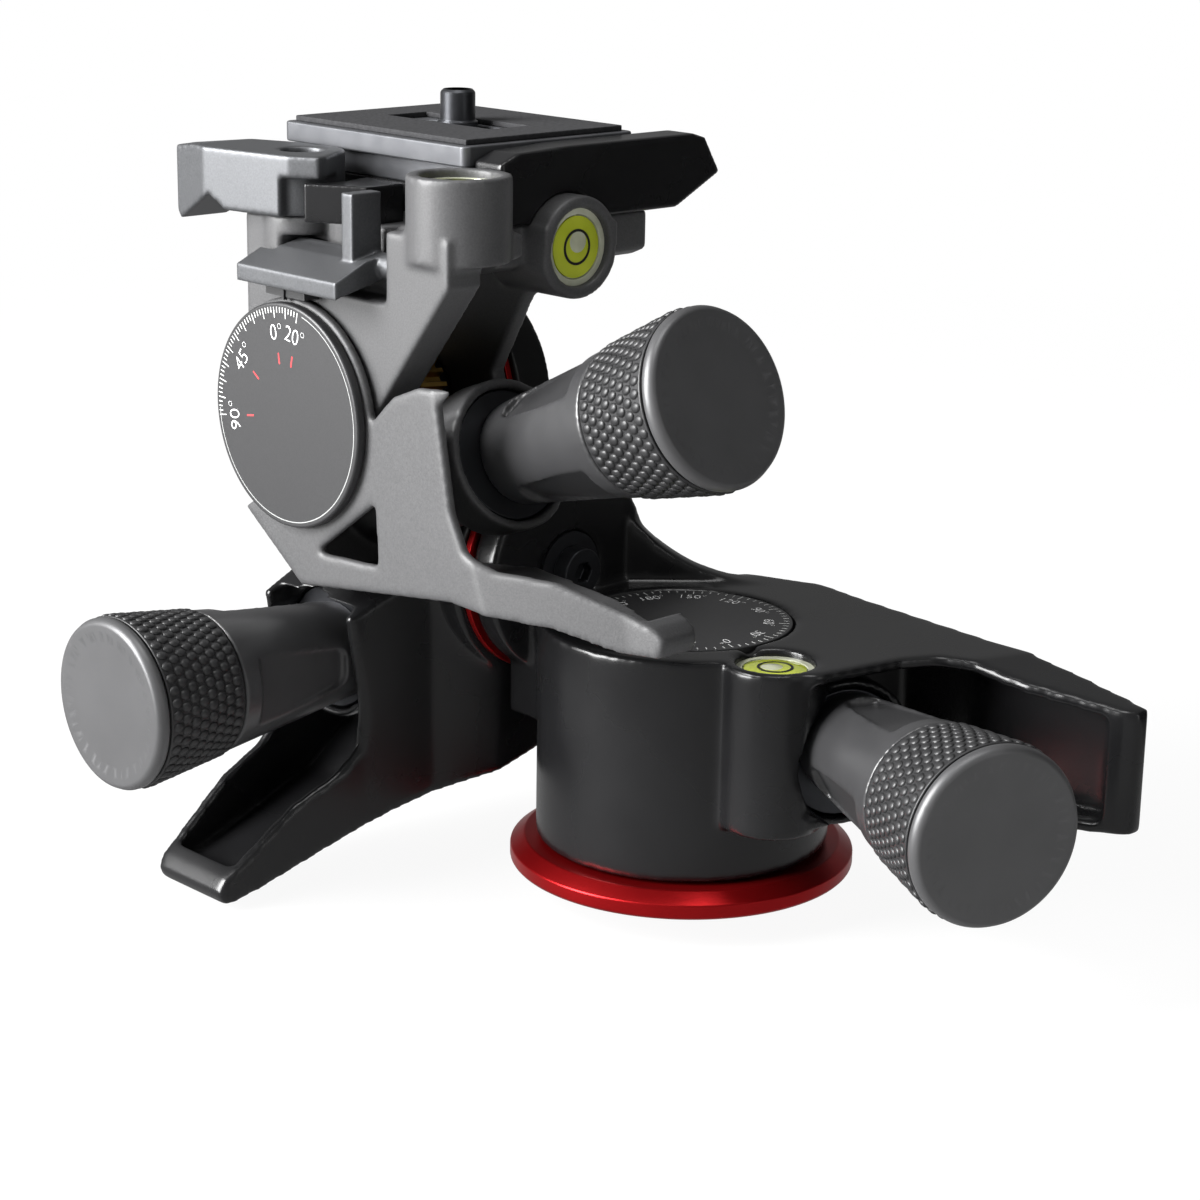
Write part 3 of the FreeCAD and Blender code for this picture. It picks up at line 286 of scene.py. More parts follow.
placed = add(marks, "GeometryNodeSetPosition", None, {"Geometry": line.outputs[0], "Position": spot})
bar = add(marks, "GeometryNodeMeshCube", None, {"Size": (1.0, 1.0, 1.0)})
rows = add(marks, "GeometryNodeInstanceOnPoints", None,
           {"Points": placed.outputs[0], "Instance": bar.outputs["Mesh"], "Rotation": turn, "Scale": size})
real = add(marks, "GeometryNodeRealizeInstances", None, {"Geometry": rows.outputs[0]})
inked = add(marks, "GeometryNodeSetMaterial", None, {"Geometry": real.outputs[0], "Material": given["Ink"]})
add(marks, "NodeGroupOutput", None, {0: inked.outputs[0]})


def grown(name, tree, values, mesh=None):
    """Runs a node tree on a mesh and keeps what it makes as a plain mesh."""
    piece = bpy.data.objects.new(name, mesh or bpy.data.meshes.new(name))
    scene.collection.objects.link(piece)
    modifier = piece.modifiers.new(name, "NODES")
    modifier.node_group = tree
    for item in tree.interface.items_tree:
        if item.in_out == "INPUT" and item.name in values:
            modifier[item.identifier] = values[item.name]
    bpy.context.view_layer.update()
    result = piece.evaluated_get(bpy.context.evaluated_depsgraph_get())
    piece.data = bpy.data.meshes.new_from_object(result)
    piece.modifiers.clear()
    return piece


def numeral(work, text, height, place):
    """Adds one printed number to a mesh, lying in the plane of its place."""
    curve = bpy.data.curves.new(text, "FONT")
    curve.body = text
    curve.size = height * 1.4
    curve.align_x = "CENTER"
    curve.align_y = "CENTER"
    curve.extrude = 0.015 * MM
    curve.offset = -0.028 * height
    holder = bpy.data.objects.new(text, curve)
    scene.collection.objects.link(holder)
    bpy.context.view_layer.update()
    flat = bpy.data.meshes.new_from_object(holder.evaluated_get(bpy.context.evaluated_depsgraph_get()))
    flat.transform(place)
    work.from_mesh(flat)
    bpy.data.objects.remove(holder)


def printed_dial(name, body, face, outer, count, first, step, every, numbers, number_r, height):
    """Marks and numbers on a dial. The face's matrix has X and Y in its plane and Z out of it."""
    degree = math.radians(1)
    values = {"Count": count, "First": first * degree, "Step": step * degree, "Outer radius": outer,
              "Short": 1.0 * MM, "Long": 1.9 * MM, "Every": float(every), "Width": 0.16 * MM,
              "Proud": 0.03 * MM, "Ink": pale_ink}
    piece = grown(name, marks, values)
    work = bmesh.new()
    work.from_mesh(piece.data)
    for text, angle in numbers:
        out = Matrix.Rotation(angle * degree, 4, "Z") @ Matrix.Translation((number_r, 0, 0))
        numeral(work, text, height, out @ Matrix.Rotation(-90 * degree, 4, "Z"))
    work.to_mesh(piece.data)
    work.free()
    piece.data.transform(face)
    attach(piece, body)


softened("pan_dial", black_abs, 0.2 * MM)
low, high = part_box("pan_dial")
pan_face = Matrix.Translation(((low.x + high.x) / 2, (low.y + high.y) / 2, high.z))
pan_zero = -20.0
every_thirty = [(str(n) + "°", pan_zero + n) for n in range(0, 360, 30)]
printed_dial("pan_dial_print", "base", pan_face, 18.4 * MM, 72, pan_zero, 5.0, 6, every_thirty, 14.6 * MM, 2.1 * MM)

# Levels: three bull's-eye capsules of clear plastic, pressed into their bosses.
# Each holds a yellow-green spirit with one bubble, and has a black circle printed under its lid.


def turned(name, profile, material, place, steps=48):
    """A closed shape turned about Z from (radius, height) pairs; ends lie on the axis."""
    work = bmesh.new()
    rings = []
    for radius, height in profile:
        if radius == 0:
            rings.append([work.verts.new((0, 0, height))])
        else:
            angles = [2 * math.pi * k / steps for k in range(steps)]
            rings.append([work.verts.new((radius * math.cos(a), radius * math.sin(a), height)) for a in angles])
    for near, far in zip(rings, rings[1:]):
        for k in range(steps):
            corners = [near[k % len(near)], near[(k + 1) % len(near)], far[(k + 1) % len(far)], far[k % len(far)]]
            work.faces.new(list(dict.fromkeys(corners)))
    bmesh.ops.recalc_face_normals(work, faces=work.faces)
    for face in work.faces:
        face.smooth = True
    mesh = bpy.data.meshes.new(name)
    work.to_mesh(mesh)
    work.free()
    mesh.set_sharp_from_angle(angle=math.radians(35))
    mesh.transform(place)
    mesh.materials.append(material)
    piece = bpy.data.objects.new(name, mesh)
    scene.collection.objects.link(piece)
    return piece


# Dyed spirit seen through clear acrylic: yellow-green, a little cloudy, with a glossy face
spirit, tree, shader = surface("dyed spirit under clear acrylic", Roughness=0.12, Coat_Weight=1.0,
                               Coat_Roughness=0.04)
place = add(tree, "ShaderNodeTexCoord").outputs["Object"]
cloud = add(tree, "ShaderNodeTexNoise", None, {"Vector": place, "Scale": 160.0, "Detail": 1.0})
tint = add(tree, "ShaderNodeMix", {"data_type": "RGBA"},
           {"Factor": cloud.outputs["Fac"], "A": linear("#8E9A1C"), "B": linear("#C6D03C")})
tree.links.new(tint.outputs["Result"], shader.inputs["Base Color"])

# Clear acrylic: a pale, partly clear plastic with a slight haze
acrylic, tree, shader = surface("clear acrylic", Roughness=0.1, Transmission_Weight=0.4, IOR=1.49)
place = add(tree, "ShaderNodeTexCoord").outputs["Object"]
cloud = add(tree, "ShaderNodeTexNoise", None, {"Vector": place, "Scale": 300.0})
tint = add(tree, "ShaderNodeMix", {"data_type": "RGBA"},
           {"Factor": cloud.outputs["Fac"], "A": linear("#B9BCA0"), "B": linear("#E4E6D2")})
tree.links.new(tint.outputs["Result"], shader.inputs["Base Color"])

circle_ink = ink("black printing ink", "#0B0B0C")


def level(node, axis, wander):
    """Fits a capsule, its circle and its bubble in the place of one plain level."""
    low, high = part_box(node)
    centre = (low + high) / 2
    top = centre + Vector(axis) * abs((high - low).dot(Vector(axis))) / 2
    depth = abs((high - low).dot(Vector(axis)))
    place = Matrix.Translation(top) @ Vector(axis).to_track_quat("Z", "Y").to_matrix().to_4x4()
    wide = 6.78 * MM
    rim = turned(node + "_capsule", [(0, -depth), (wide, -depth), (wide, 0), (5.7 * MM, 0), (5.5 * MM, -0.5 * MM),
                                     (0, -0.5 * MM)], acrylic, place)
    fluid = turned(node + "_spirit", [(0, -0.6 * MM), (5.46 * MM, -0.6 * MM), (5.4 * MM, -0.1 * MM),
                                      (4.0 * MM, 0.12 * MM), (0, 0.2 * MM)], spirit, place)
    mark = turned(node + "_circle", [(2.7 * MM, 0.1 * MM), (3.15 * MM, 0.1 * MM), (3.15 * MM, 0.22 * MM),
                                     (2.7 * MM, 0.26 * MM), (2.7 * MM, 0.1 * MM)], circle_ink, place)
    off = place @ Matrix.Translation((wander[0] * MM, wander[1] * MM, 0))
    bubble = turned(node + "_bubble", [(0, 0.1 * MM), (2.0 * MM, 0.12 * MM), (1.7 * MM, 0.26 * MM),
                                       (0, 0.4 * MM)], acrylic, off)
    for piece in (rim, fluid, mark, bubble):
        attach(piece, body_of[node])
    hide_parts(node)


level("pan_level", (0, 0, 1), (0.5, 0.3))
level("top_level", (0, 0, 1), (-0.4, 0.2))
level("side_level", (1, 0, 0), (0.2, 0.9))

# Lateral joint: a steel axle fixed in the upright, a red friction ring in the joint and a dial at its far end.
# The ring is dyed like the base, and the bolt that closes the axle has a hexagon socket.
softened("lateral_friction_ring", red_anodised, 0.15 * MM)
softened("front_friction_ring", red_anodised, 0.15 * MM)

# Black oxide on steel: dark, oily and a little blue
black_oxide, tree, shader = surface("black oxide steel", Metallic=0.8)
shader.inputs["Base Color"].default_value = linear("#3A3B3E")
place = add(tree, "ShaderNodeTexCoord").outputs["Object"]
oil = add(tree, "ShaderNodeTexNoise", None, {"Vector": place, "Scale": 700.0, "Detail": 3.0})
rough = add(tree, "ShaderNodeMapRange", None, {"Value": oil.outputs["Fac"], "To Min": 0.25, "To Max": 0.45})
tree.links.new(rough.outputs["Result"], shader.inputs["Roughness"])
softened("lateral_axle_bolt", black_oxide, 0.25 * MM)
coat("lateral_axle", black_oxide)
coat("front_axle", black_oxide)
softened("lateral_dial", black_abs, 0.2 * MM)
low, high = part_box("lateral_dial")
lateral_face = Matrix(((0, 0, -1, low.x), (-1, 0, 0, (low.y + high.y) / 2), (0, 1, 0, (low.z + high.z) / 2),
                       (0, 0, 0, 1)))
quarter = [("90°", 180), ("45°", 135), ("0°", 90), ("20°", 70)]
printed_dial("lateral_dial_print", "pan", lateral_face, 15.4 * MM, 45, 70.0, 2.5, 4, quarter, 11.6 * MM, 2.2 * MM)

# Lateral housing: the second casting, black like the first. It swings on the axle and carries the
# front housing, and its wing points down beside the knob.
softened("lateral_housing", black_coat, 0.56 * MM, cast=20)

# Front housing: the grey casting that carries the big dial, with its wing below the front knob.
# Its coat has a fine hard texture that scatters the light.

# Textured powder coat: dark grey, matt, with a sandy grain about 0.35 mm across
grey_coat, tree, shader = surface("textured grey powder coat", Specular_IOR_Level=0.5)
place = add(tree, "ShaderNodeTexCoord").outputs["Object"]
sand = add(tree, "ShaderNodeTexNoise", None, {"Vector": place, "Scale": 2800.0, "Detail": 3.0, "Roughness": 0.6})
patch = add(tree, "ShaderNodeTexNoise", None, {"Vector": place, "Scale": 60.0, "Detail": 3.0})
tint = add(tree, "ShaderNodeMix", {"data_type": "RGBA"},
           {"Factor": sand.outputs["Fac"], "A": linear("#2C2C2D"), "B": linear("#4B4B4C")})
tree.links.new(tint.outputs["Result"], shader.inputs["Base Color"])
rough = add(tree, "ShaderNodeMapRange", None, {"Value": patch.outputs["Fac"], "To Min": 0.42, "To Max": 0.55})
tree.links.new(rough.outputs["Result"], shader.inputs["Roughness"])
bump = add(tree, "ShaderNodeBump", None, {"Height": sand.outputs["Fac"], "Strength": 0.3, "Distance": 0.00008})
tree.links.new(bump.outputs["Normal"], shader.inputs["Normal"])
softened("front_housing", grey_coat, 0.45 * MM, cast=14)
softened("rear_cheek", black_coat, 0.4 * MM, cast=5)

# Front dial: a large moulded disc on the near face, printed from 90 to 20 degrees.
# Short red dashes repeat the four numbered angles nearer the middle.
softened("front_dial", black_abs, 0.5 * MM)
low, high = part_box("front_dial")
front_face = Matrix(((1, 0, 0, (low.x + high.x) / 2), (0, 0, -1, low.y), (0, 1, 0, (low.z + high.z) / 2),
                     (0, 0, 0, 1)))
zero_at = 98.5
quarter = [("90°", zero_at + 90), ("45°", zero_at + 45), ("0°", zero_at), ("20°", zero_at - 20)]
printed_dial("front_dial_print", "cross", front_face, 19.3 * MM, 45, zero_at - 20.0, 2.5, 4, quarter, 14.7 * MM,
             2.9 * MM)


def kept(name, work, material, body, place=Matrix()):
    """Keeps a mesh built point by point as a piece of its own, moved to its place."""
    mesh = bpy.data.meshes.new(name)
    work.to_mesh(mesh)
    work.free()
    mesh.transform(place)
    mesh.materials.append(material)
    piece = bpy.data.objects.new(name, mesh)
    scene.collection.objects.link(piece)
    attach(piece, body)


# A painted highlight of the dial's bevelled edge: a thin grey line runs round the rim where there are no marks, in
# short chords
rim_highlight_inner = 18.95 * MM
rim_highlight_outer = 19.13 * MM
rim_highlight_start = zero_at - 24
chord = 2
work = bmesh.new()
for k in range(125):
    edges = []
    for angle in (rim_highlight_start - chord * k, rim_highlight_start - chord * (k + 1)):
        c, s = math.cos(math.radians(angle)), math.sin(math.radians(angle))
        edges.append([work.verts.new((radius * c, radius * s, 0.03 * MM)) for radius in (rim_highlight_inner, rim_highlight_outer)])
    work.faces.new((edges[0][0], edges[0][1], edges[1][1], edges[1][0])).normal_flip()
bmesh.ops.remove_doubles(work, verts=work.verts, dist=1e-6)
# The grey ink here is a painted highlight of the rim's edge, not a printed line
kept("front_dial_rim_highlight", work, ink("grey ink, painted rim highlight", "#8E8F8E"), "cross", front_face)
dashes = bmesh.new()
for text, angle in quarter:
    values = {"Count": 1, "First": math.radians(angle), "Step": 0.0, "Outer radius": 11.2 * MM, "Short": 2.0 * MM,
              "Long": 2.0 * MM, "Every": 4.0, "Width": 0.3 * MM, "Proud": 0.03 * MM, "Ink": red_ink}
    dash = grown("dash", marks, values)
    dashes.from_mesh(dash.data)
    bpy.data.objects.remove(dash)
kept("front_dial_dashes", dashes, red_ink, "cross", front_face)

# Worm drives: three alike. A steel shaft with its worm runs in an eccentric sleeve, and the smooth
# cone on the sleeve is twisted to lift the worm out of mesh.

# Satin painted aluminium: dark grey, smooth, with a clear sheen along the cone
satin_grey, tree, shader = surface("satin grey paint on aluminium", Specular_IOR_Level=0.6, Coat_Weight=0.15,
                                   Coat_Roughness=0.25)
place = add(tree, "ShaderNodeTexCoord").outputs["Object"]
haze = add(tree, "ShaderNodeTexNoise", None, {"Vector": place, "Scale": 120.0, "Detail": 3.0})
fine = add(tree, "ShaderNodeTexNoise", None, {"Vector": place, "Scale": 4000.0})
tint = add(tree, "ShaderNodeMix", {"data_type": "RGBA"},
           {"Factor": haze.outputs["Fac"], "A": linear("#262627"), "B": linear("#323233")})
tree.links.new(tint.outputs["Result"], shader.inputs["Base Color"])
rough = add(tree, "ShaderNodeMapRange", None, {"Value": haze.outputs["Fac"], "To Min": 0.3, "To Max": 0.4})
tree.links.new(rough.outputs["Result"], shader.inputs["Roughness"])
bump = add(tree, "ShaderNodeBump", None, {"Height": fine.outputs["Fac"], "Strength": 0.08, "Distance": 0.00003})
tree.links.new(bump.outputs["Normal"], shader.inputs["Normal"])

units = ("pan", "lateral", "front")
for unit in units:
    coat(unit + "_worm_shaft", steel)
    softened(unit + "_worm_sleeve", black_oxide, 0.3 * MM)
    softened(unit + "_release_collar", satin_grey, 0.35 * MM, cast=8)

# Knob grips: moulded over the shaft's end, with eight rows of raised scales that keep fingers from
# slipping, and a dished cap pressed into the end.

scales = bpy.data.node_groups.new("rows of scales on a cone", "GeometryNodeTree")
for name, kind in (("Geometry", "Geometry"), ("Rows", "Int"), ("Around", "Int"), ("First row", "Float"),
                   ("Row pitch", "Float"), ("First radius", "Float"), ("Slope", "Float"), ("Scale length", "Float"),
                   ("Scale width", "Float"), ("Scale height", "Float"), ("Material", "Material")):
    scales.interface.new_socket(name, in_out="INPUT", socket_type="NodeSocket" + kind)
scales.interface.new_socket("Geometry", in_out="OUTPUT", socket_type="NodeSocketGeometry")
given = add(scales, "NodeGroupInput").outputs
index = add(scales, "GeometryNodeInputIndex").outputs["Index"]
total = add(scales, "ShaderNodeMath", {"operation": "MULTIPLY"}, {0: given["Rows"], 1: given["Around"]}).outputs[0]
line = add(scales, "GeometryNodeMeshLine", None, {"Count": total})
share = add(scales, "ShaderNodeMath", {"operation": "DIVIDE"}, {0: index, 1: given["Around"]}).outputs[0]
row = add(scales, "ShaderNodeMath", {"operation": "FLOOR"}, {0: share}).outputs[0]
odd = add(scales, "ShaderNodeMath", {"operation": "FLOORED_MODULO"}, {0: row, 1: 2.0}).outputs[0]
column = add(scales, "ShaderNodeMath", {"operation": "MULTIPLY_ADD"}, {0: odd, 1: 0.5, 2: index}).outputs[0]
turns = add(scales, "ShaderNodeMath", {"operation": "DIVIDE"}, {0: column, 1: given["Around"]}).outputs[0]
angle = add(scales, "ShaderNodeMath", {"operation": "MULTIPLY"}, {0: turns, 1: 2 * math.pi}).outputs[0]
run = add(scales, "ShaderNodeMath", {"operation": "MULTIPLY"}, {0: row, 1: given["Row pitch"]}).outputs[0]
along = add(scales, "ShaderNodeMath", {"operation": "ADD"}, {0: run, 1: given["First row"]}).outputs[0]
radius = add(scales, "ShaderNodeMath", {"operation": "MULTIPLY_ADD"},
             {0: run, 1: given["Slope"], 2: given["First radius"]}).outputs[0]
cosine = add(scales, "ShaderNodeMath", {"operation": "COSINE"}, {0: angle}).outputs[0]
sine = add(scales, "ShaderNodeMath", {"operation": "SINE"}, {0: angle}).outputs[0]
ring = add(scales, "ShaderNodeCombineXYZ", None, {"Y": cosine, "Z": sine}).outputs[0]
out = add(scales, "ShaderNodeVectorMath", {"operation": "SCALE"}, {0: ring, "Scale": radius}).outputs[0]
forward = add(scales, "ShaderNodeCombineXYZ", None, {"X": along}).outputs[0]
spot = add(scales, "ShaderNodeVectorMath", {"operation": "ADD"}, {0: out, 1: forward}).outputs[0]
back = add(scales, "ShaderNodeMath", {"operation": "MULTIPLY"}, {0: given["Slope"], 1: -1.0}).outputs[0]
lean = add(scales, "ShaderNodeCombineXYZ", None, {"X": back}).outputs[0]
normal = add(scales, "ShaderNodeVectorMath", {"operation": "ADD"}, {0: ring, 1: lean}).outputs[0]
tilt = add(scales, "FunctionNodeAxesToRotation", {"primary_axis": "Z", "secondary_axis": "X"},
           {"Primary Axis": normal, "Secondary Axis": (1.0, 0.0, 0.0)}).outputs[0]
spots = add(scales, "GeometryNodeSetPosition", None, {"Geometry": line.outputs[0], "Position": spot})
dome = add(scales, "GeometryNodeMeshUVSphere", None, {"Segments": 8, "Rings": 5, "Radius": 1.0})
size = add(scales, "ShaderNodeCombineXYZ", None, {"X": given["Scale length"], "Y": given["Scale width"],
                                                  "Z": given["Scale height"]}).outputs[0]
rows = add(scales, "GeometryNodeInstanceOnPoints", None,
           {"Points": spots.outputs[0], "Instance": dome.outputs["Mesh"], "Rotation": tilt, "Scale": size})
real = add(scales, "GeometryNodeRealizeInstances", None, {"Geometry": rows.outputs[0]})
smooth = add(scales, "GeometryNodeSetShadeSmooth", None, {"Geometry": real.outputs[0]})
both = add(scales, "GeometryNodeJoinGeometry")
scales.links.new(given["Geometry"], both.inputs[0])
scales.links.new(smooth.outputs[0], both.inputs[0])
coated = add(scales, "GeometryNodeSetMaterial", None, {"Geometry": both.outputs[0], "Material": given["Material"]})
add(scales, "NodeGroupOutput", None, {0: coated.outputs[0]})

# Moulded rubberised plastic: near black and matt, with worn patches about 5 mm across
grip_plastic, tree, shader = surface("rubberised plastic, moulded", Specular_IOR_Level=0.5)
place = add(tree, "ShaderNodeTexCoord").outputs["Object"]
worn = add(tree, "ShaderNodeTexNoise", None, {"Vector": place, "Scale": 180.0, "Detail": 4.0})
tint = add(tree, "ShaderNodeMix", {"data_type": "RGBA"},
           {"Factor": worn.outputs["Fac"], "A": linear("#19191A"), "B": linear("#262627")})
tree.links.new(tint.outputs["Result"], shader.inputs["Base Color"])
rough = add(tree, "ShaderNodeMapRange", None, {"Value": worn.outputs["Fac"], "To Min": 0.38, "To Max": 0.5})
tree.links.new(rough.outputs["Result"], shader.inputs["Roughness"])

# Anodised cap: spun aluminium, satin grey, with a fine even grain about 0.3 mm across
cap_grey, tree, shader = surface("satin grey anodised aluminium", Metallic=0.35, Roughness=0.4)
place = add(tree, "ShaderNodeTexCoord").outputs["Object"]
haze = add(tree, "ShaderNodeTexNoise", None, {"Vector": place, "Scale": 90.0, "Detail": 3.0})
tint = add(tree, "ShaderNodeMix", {"data_type": "RGBA"},
           {"Factor": haze.outputs["Fac"], "A": linear("#434344"), "B": linear("#4F4F50")})
tree.links.new(tint.outputs["Result"], shader.inputs["Base Color"])
fine = add(tree, "ShaderNodeTexNoise", None, {"Vector": place, "Scale": 3000.0})
bump = add(tree, "ShaderNodeBump", None, {"Height": fine.outputs["Fac"], "Strength": 0.1, "Distance": 0.00003})
tree.links.new(bump.outputs["Normal"], shader.inputs["Normal"])

# The knob's cone, along the shaft from the wheel's axis: where it starts, where the scales start and where it ends
worm_drop = 15.9 * MM
neck_x, neck_r = 31.6, 9.1
scales_x = 62.0
cap_x, cap_r = 79.2, 15.3
slope = (cap_r - neck_r) / (cap_x - neck_x)
lean = math.radians(-20.5)
rise = math.radians(20.4)
# For each unit the wheel's centre, the way the shaft points and the wheel's axis
origins = {
    "pan": (Vector((0, 0, 30.2)) * MM, Vector((math.cos(lean), math.sin(lean), 0)), Vector((0, 0, 1))),
    "lateral": (Vector((-53.6, -6.0, 50.7)) * MM, Vector((0, -1, 0)), Vector((1, 0, 0))),
    "front": (Vector((-51.0, -26.1, 81.0)) * MM, Vector((math.cos(rise), 0, math.sin(rise))), Vector((0, 1, 0))),
}
for unit in units:
    origin, shaft, wheel = origins[unit]
    up = shaft.cross(wheel)
    turn = Matrix((shaft, wheel, up)).transposed().to_4x4()
    place = Matrix.Translation(origin - up * worm_drop) @ turn
    softened(unit + "_knob_grip", grip_plastic, 0.3 * MM)
    first = 1.55 * MM
    values = {"Rows": 8, "Around": 44, "First row": scales_x * MM + first, "Row pitch": 2.02 * MM,
              "First radius": (neck_r + (scales_x - neck_x) * slope) * MM + first * slope, "Slope": slope,
              "Scale length": 1.25 * MM, "Scale width": 0.92 * MM, "Scale height": 0.42 * MM,
              "Material": grip_plastic}
    piece = grown(unit + "_grip_scales", scales, values)
    piece.data.transform(place)
    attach(piece, unit + "_knob")
    softened(unit + "_knob_cap", cap_grey, 0.05 * MM, sharp=80)

# Top bracket: the grey casting that tilts between the housings and carries the clamp and two levels.
# Its deck is cut back on both sides of the side level's barrel and in front of the level's face.
before_barrel = [(-29.2, 105), (-22.6, 105), (-22.6, 118), (-29.2, 118)]
behind_barrel = [(-5.4, 105), (12, 105), (12, 118), (-5.4, 118)]
over_barrel = [(-29.2, 100), (12, 100), (12, 118), (-29.2, 118)]
softened("top_bracket", grey_coat, 0.45 * MM, cast=10,
         trims=[(before_barrel, -19.5, 0), (behind_barrel, -19.5, 0), (over_barrel, -13.95, 0)])

# The dial's pointer: a black moulded foot under the catch's tab, over the dial's zero mark, with a thin line
work = bmesh.new()
slab(work, [(-49.4, 102.0), (-46.0, 102.0), (-46.0, 106.5), (-48.2, 106.5), (-49.4, 104.6)], -57.2, -46.4)
slab(work, [(-49.8, 101.5), (-49.0, 101.5), (-49.0, 103.4), (-49.8, 103.4)], -52.3, -51.7)
for face in work.faces:
    face.smooth = False
kept("dial_pointer", work, black_abs, "top")

# Clamp: the receiver and its fixed jaw are one casting, and the lever's cam holds the plate against it.
# The catch beside the lever stops it opening by accident.
softened("plate_receiver", black_coat, 0.4 * MM, cast=10)
softened("lever_stop", black_coat, 0.3 * MM, cast=5)

# Bead blasted aluminium: mid grey, matt, with a fine grain about 0.3 mm across
blasted, tree, shader = surface("bead blasted aluminium", Metallic=0.75)
place = add(tree, "ShaderNodeTexCoord").outputs["Object"]
bead = add(tree, "ShaderNodeTexNoise", None, {"Vector": place, "Scale": 3000.0, "Detail": 2.0})
tint = add(tree, "ShaderNodeMix", {"data_type": "RGBA"},
           {"Factor": bead.outputs["Fac"], "A": linear("#48494B"), "B": linear("#606163")})
tree.links.new(tint.outputs["Result"], shader.inputs["Base Color"])
rough = add(tree, "ShaderNodeMapRange", None, {"Value": bead.outputs["Fac"], "To Min": 0.4, "To Max": 0.55})
tree.links.new(rough.outputs["Result"], shader.inputs["Roughness"])
bump = add(tree, "ShaderNodeBump", None, {"Height": bead.outputs["Fac"], "Strength": 0.2, "Distance": 0.00004})
tree.links.new(bump.outputs["Normal"], shader.inputs["Normal"])
softened("clamp_lever", blasted, 0.35 * MM, cast=10)
# The tab's lip is cut square, and seven ribs on it stop the finger from slipping
lip = [(-70, 95), (-53.0, 95), (-53.4, 120), (-70, 120)]
ribs = [([(-53.2, 104.6), (-46.9, 108.2), (-46.9, 109.4), (-53.2, 105.9)], -59.4 + 3.7 * k, -58.4 + 3.7 * k)
        for k in range(7)]
softened("safety_catch", blasted, 0.26 * MM, cast=4, bars=ribs, trims=[(lip, -70, -20)])
softened("lever_pivot_screw", black_oxide, 0.2 * MM)
coat("catch_pin", steel)

# Plate: die cast aluminium, satin grey, with a rubber pad glued in its top and the camera's screw through it.

# Cast and tumbled aluminium, dark satin: soft metal sheen without direction
plate_grey, tree, shader = surface("tumbled grey aluminium", Metallic=0.6)
place = add(tree, "ShaderNodeTexCoord").outputs["Object"]
cloud = add(tree, "ShaderNodeTexNoise", None, {"Vector": place, "Scale": 250.0, "Detail": 4.0})
tint = add(tree, "ShaderNodeMix", {"data_type": "RGBA"},
           {"Factor": cloud.outputs["Fac"], "A": linear("#4B4C4F"), "B": linear("#606164")})
tree.links.new(tint.outputs["Result"], shader.inputs["Base Color"])
rough = add(tree, "ShaderNodeMapRange", None, {"Value": cloud.outputs["Fac"], "To Min": 0.35, "To Max": 0.48})
tree.links.new(rough.outputs["Result"], shader.inputs["Roughness"])
softened("quick_release_plate", plate_grey, 0.35 * MM)

# Rubber sheet: dark, dull, with a pressed grain about 0.8 mm across
rubber, tree, shader = surface("pressed rubber sheet", Roughness=0.8, Specular_IOR_Level=0.35)
place = add(tree, "ShaderNodeTexCoord").outputs["Object"]
cell = add(tree, "ShaderNodeTexVoronoi", None, {"Vector": place, "Scale": 1250.0})
tint = add(tree, "ShaderNodeMix", {"data_type": "RGBA"},
           {"Factor": cell.outputs["Distance"], "A": linear("#2B2B2D"), "B": linear("#1C1C1E")})
tree.links.new(tint.outputs["Result"], shader.inputs["Base Color"])
bump = add(tree, "ShaderNodeBump", None, {"Height": cell.outputs["Distance"], "Strength": 0.5, "Distance": 0.0001})
tree.links.new(bump.outputs["Normal"], shader.inputs["Normal"])
softened("plate_pad", rubber, 0.2 * MM)

softened("camera_screw", black_oxide, 0.25 * MM)
# A 1/4 inch thread with 20 turns to the inch: the ridge comes round once a pitch, and the end is chamfered
low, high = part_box("camera_screw")
thread_r = 3.17 * MM
pitch = 1.27 * MM
depth = 0.62 * MM
steps = 36
levels = 44
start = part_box("plate_pad")[1].z - 0.4 * MM
end = high.z
work = bmesh.new()
rings = []
for j in range(levels + 1):
    height = start + (end - start) * j / levels
    ring = []
    for k in range(steps):
        angle = 2 * math.pi * k / steps
        phase = ((height - start) / pitch - k / steps) % 1.0
        ridge = 1 - abs(2 * phase - 1)
        radius = thread_r - depth * (1 - min(1.0, ridge * 1.25))
        radius = min(radius, thread_r - max(0.0, height - (end - 0.5 * MM)))
        x = (low.x + high.x) / 2 + radius * math.cos(angle)
        y = (low.y + high.y) / 2 + radius * math.sin(angle)
        ring.append(work.verts.new((x, y, height)))
    rings.append(ring)
for near, far in zip(rings, rings[1:]):
    for k in range(steps):
        work.faces.new((near[k], near[(k + 1) % steps], far[(k + 1) % steps], far[k]))
work.faces.new(rings[-1])
work.faces.new(list(reversed(rings[0])))
bmesh.ops.recalc_face_normals(work, faces=work.faces)
kept("camera_screw_thread", work, black_oxide, "screw")

# Studio: a pale floor just under the lowest wing, a white surround, and soft light from the left and above.
floor_z = cad_box[0].z - 1.2 * MM
half = 3.0
corners = [(-half, -half, floor_z), (half, -half, floor_z), (half, half, floor_z), (-half, half, floor_z)]
mesh = bpy.data.meshes.new("floor")
mesh.from_pydata(corners, [], [(0, 1, 2, 3)])
floor = bpy.data.objects.new("floor", mesh)
scene.collection.objects.link(floor)
# Seamless studio paper: white, matt; the camera sees it bright, and it keeps the shadow
paper = bpy.data.materials.new("seamless paper")
paper.use_nodes = True
tree = paper.node_tree
tree.nodes.remove(tree.nodes["Principled BSDF"])
path = add(tree, "ShaderNodeLightPath").outputs
seen = add(tree, "ShaderNodeMath", {"operation": "MAXIMUM"},
           {0: path["Is Camera Ray"], 1: path["Is Transmission Ray"]})
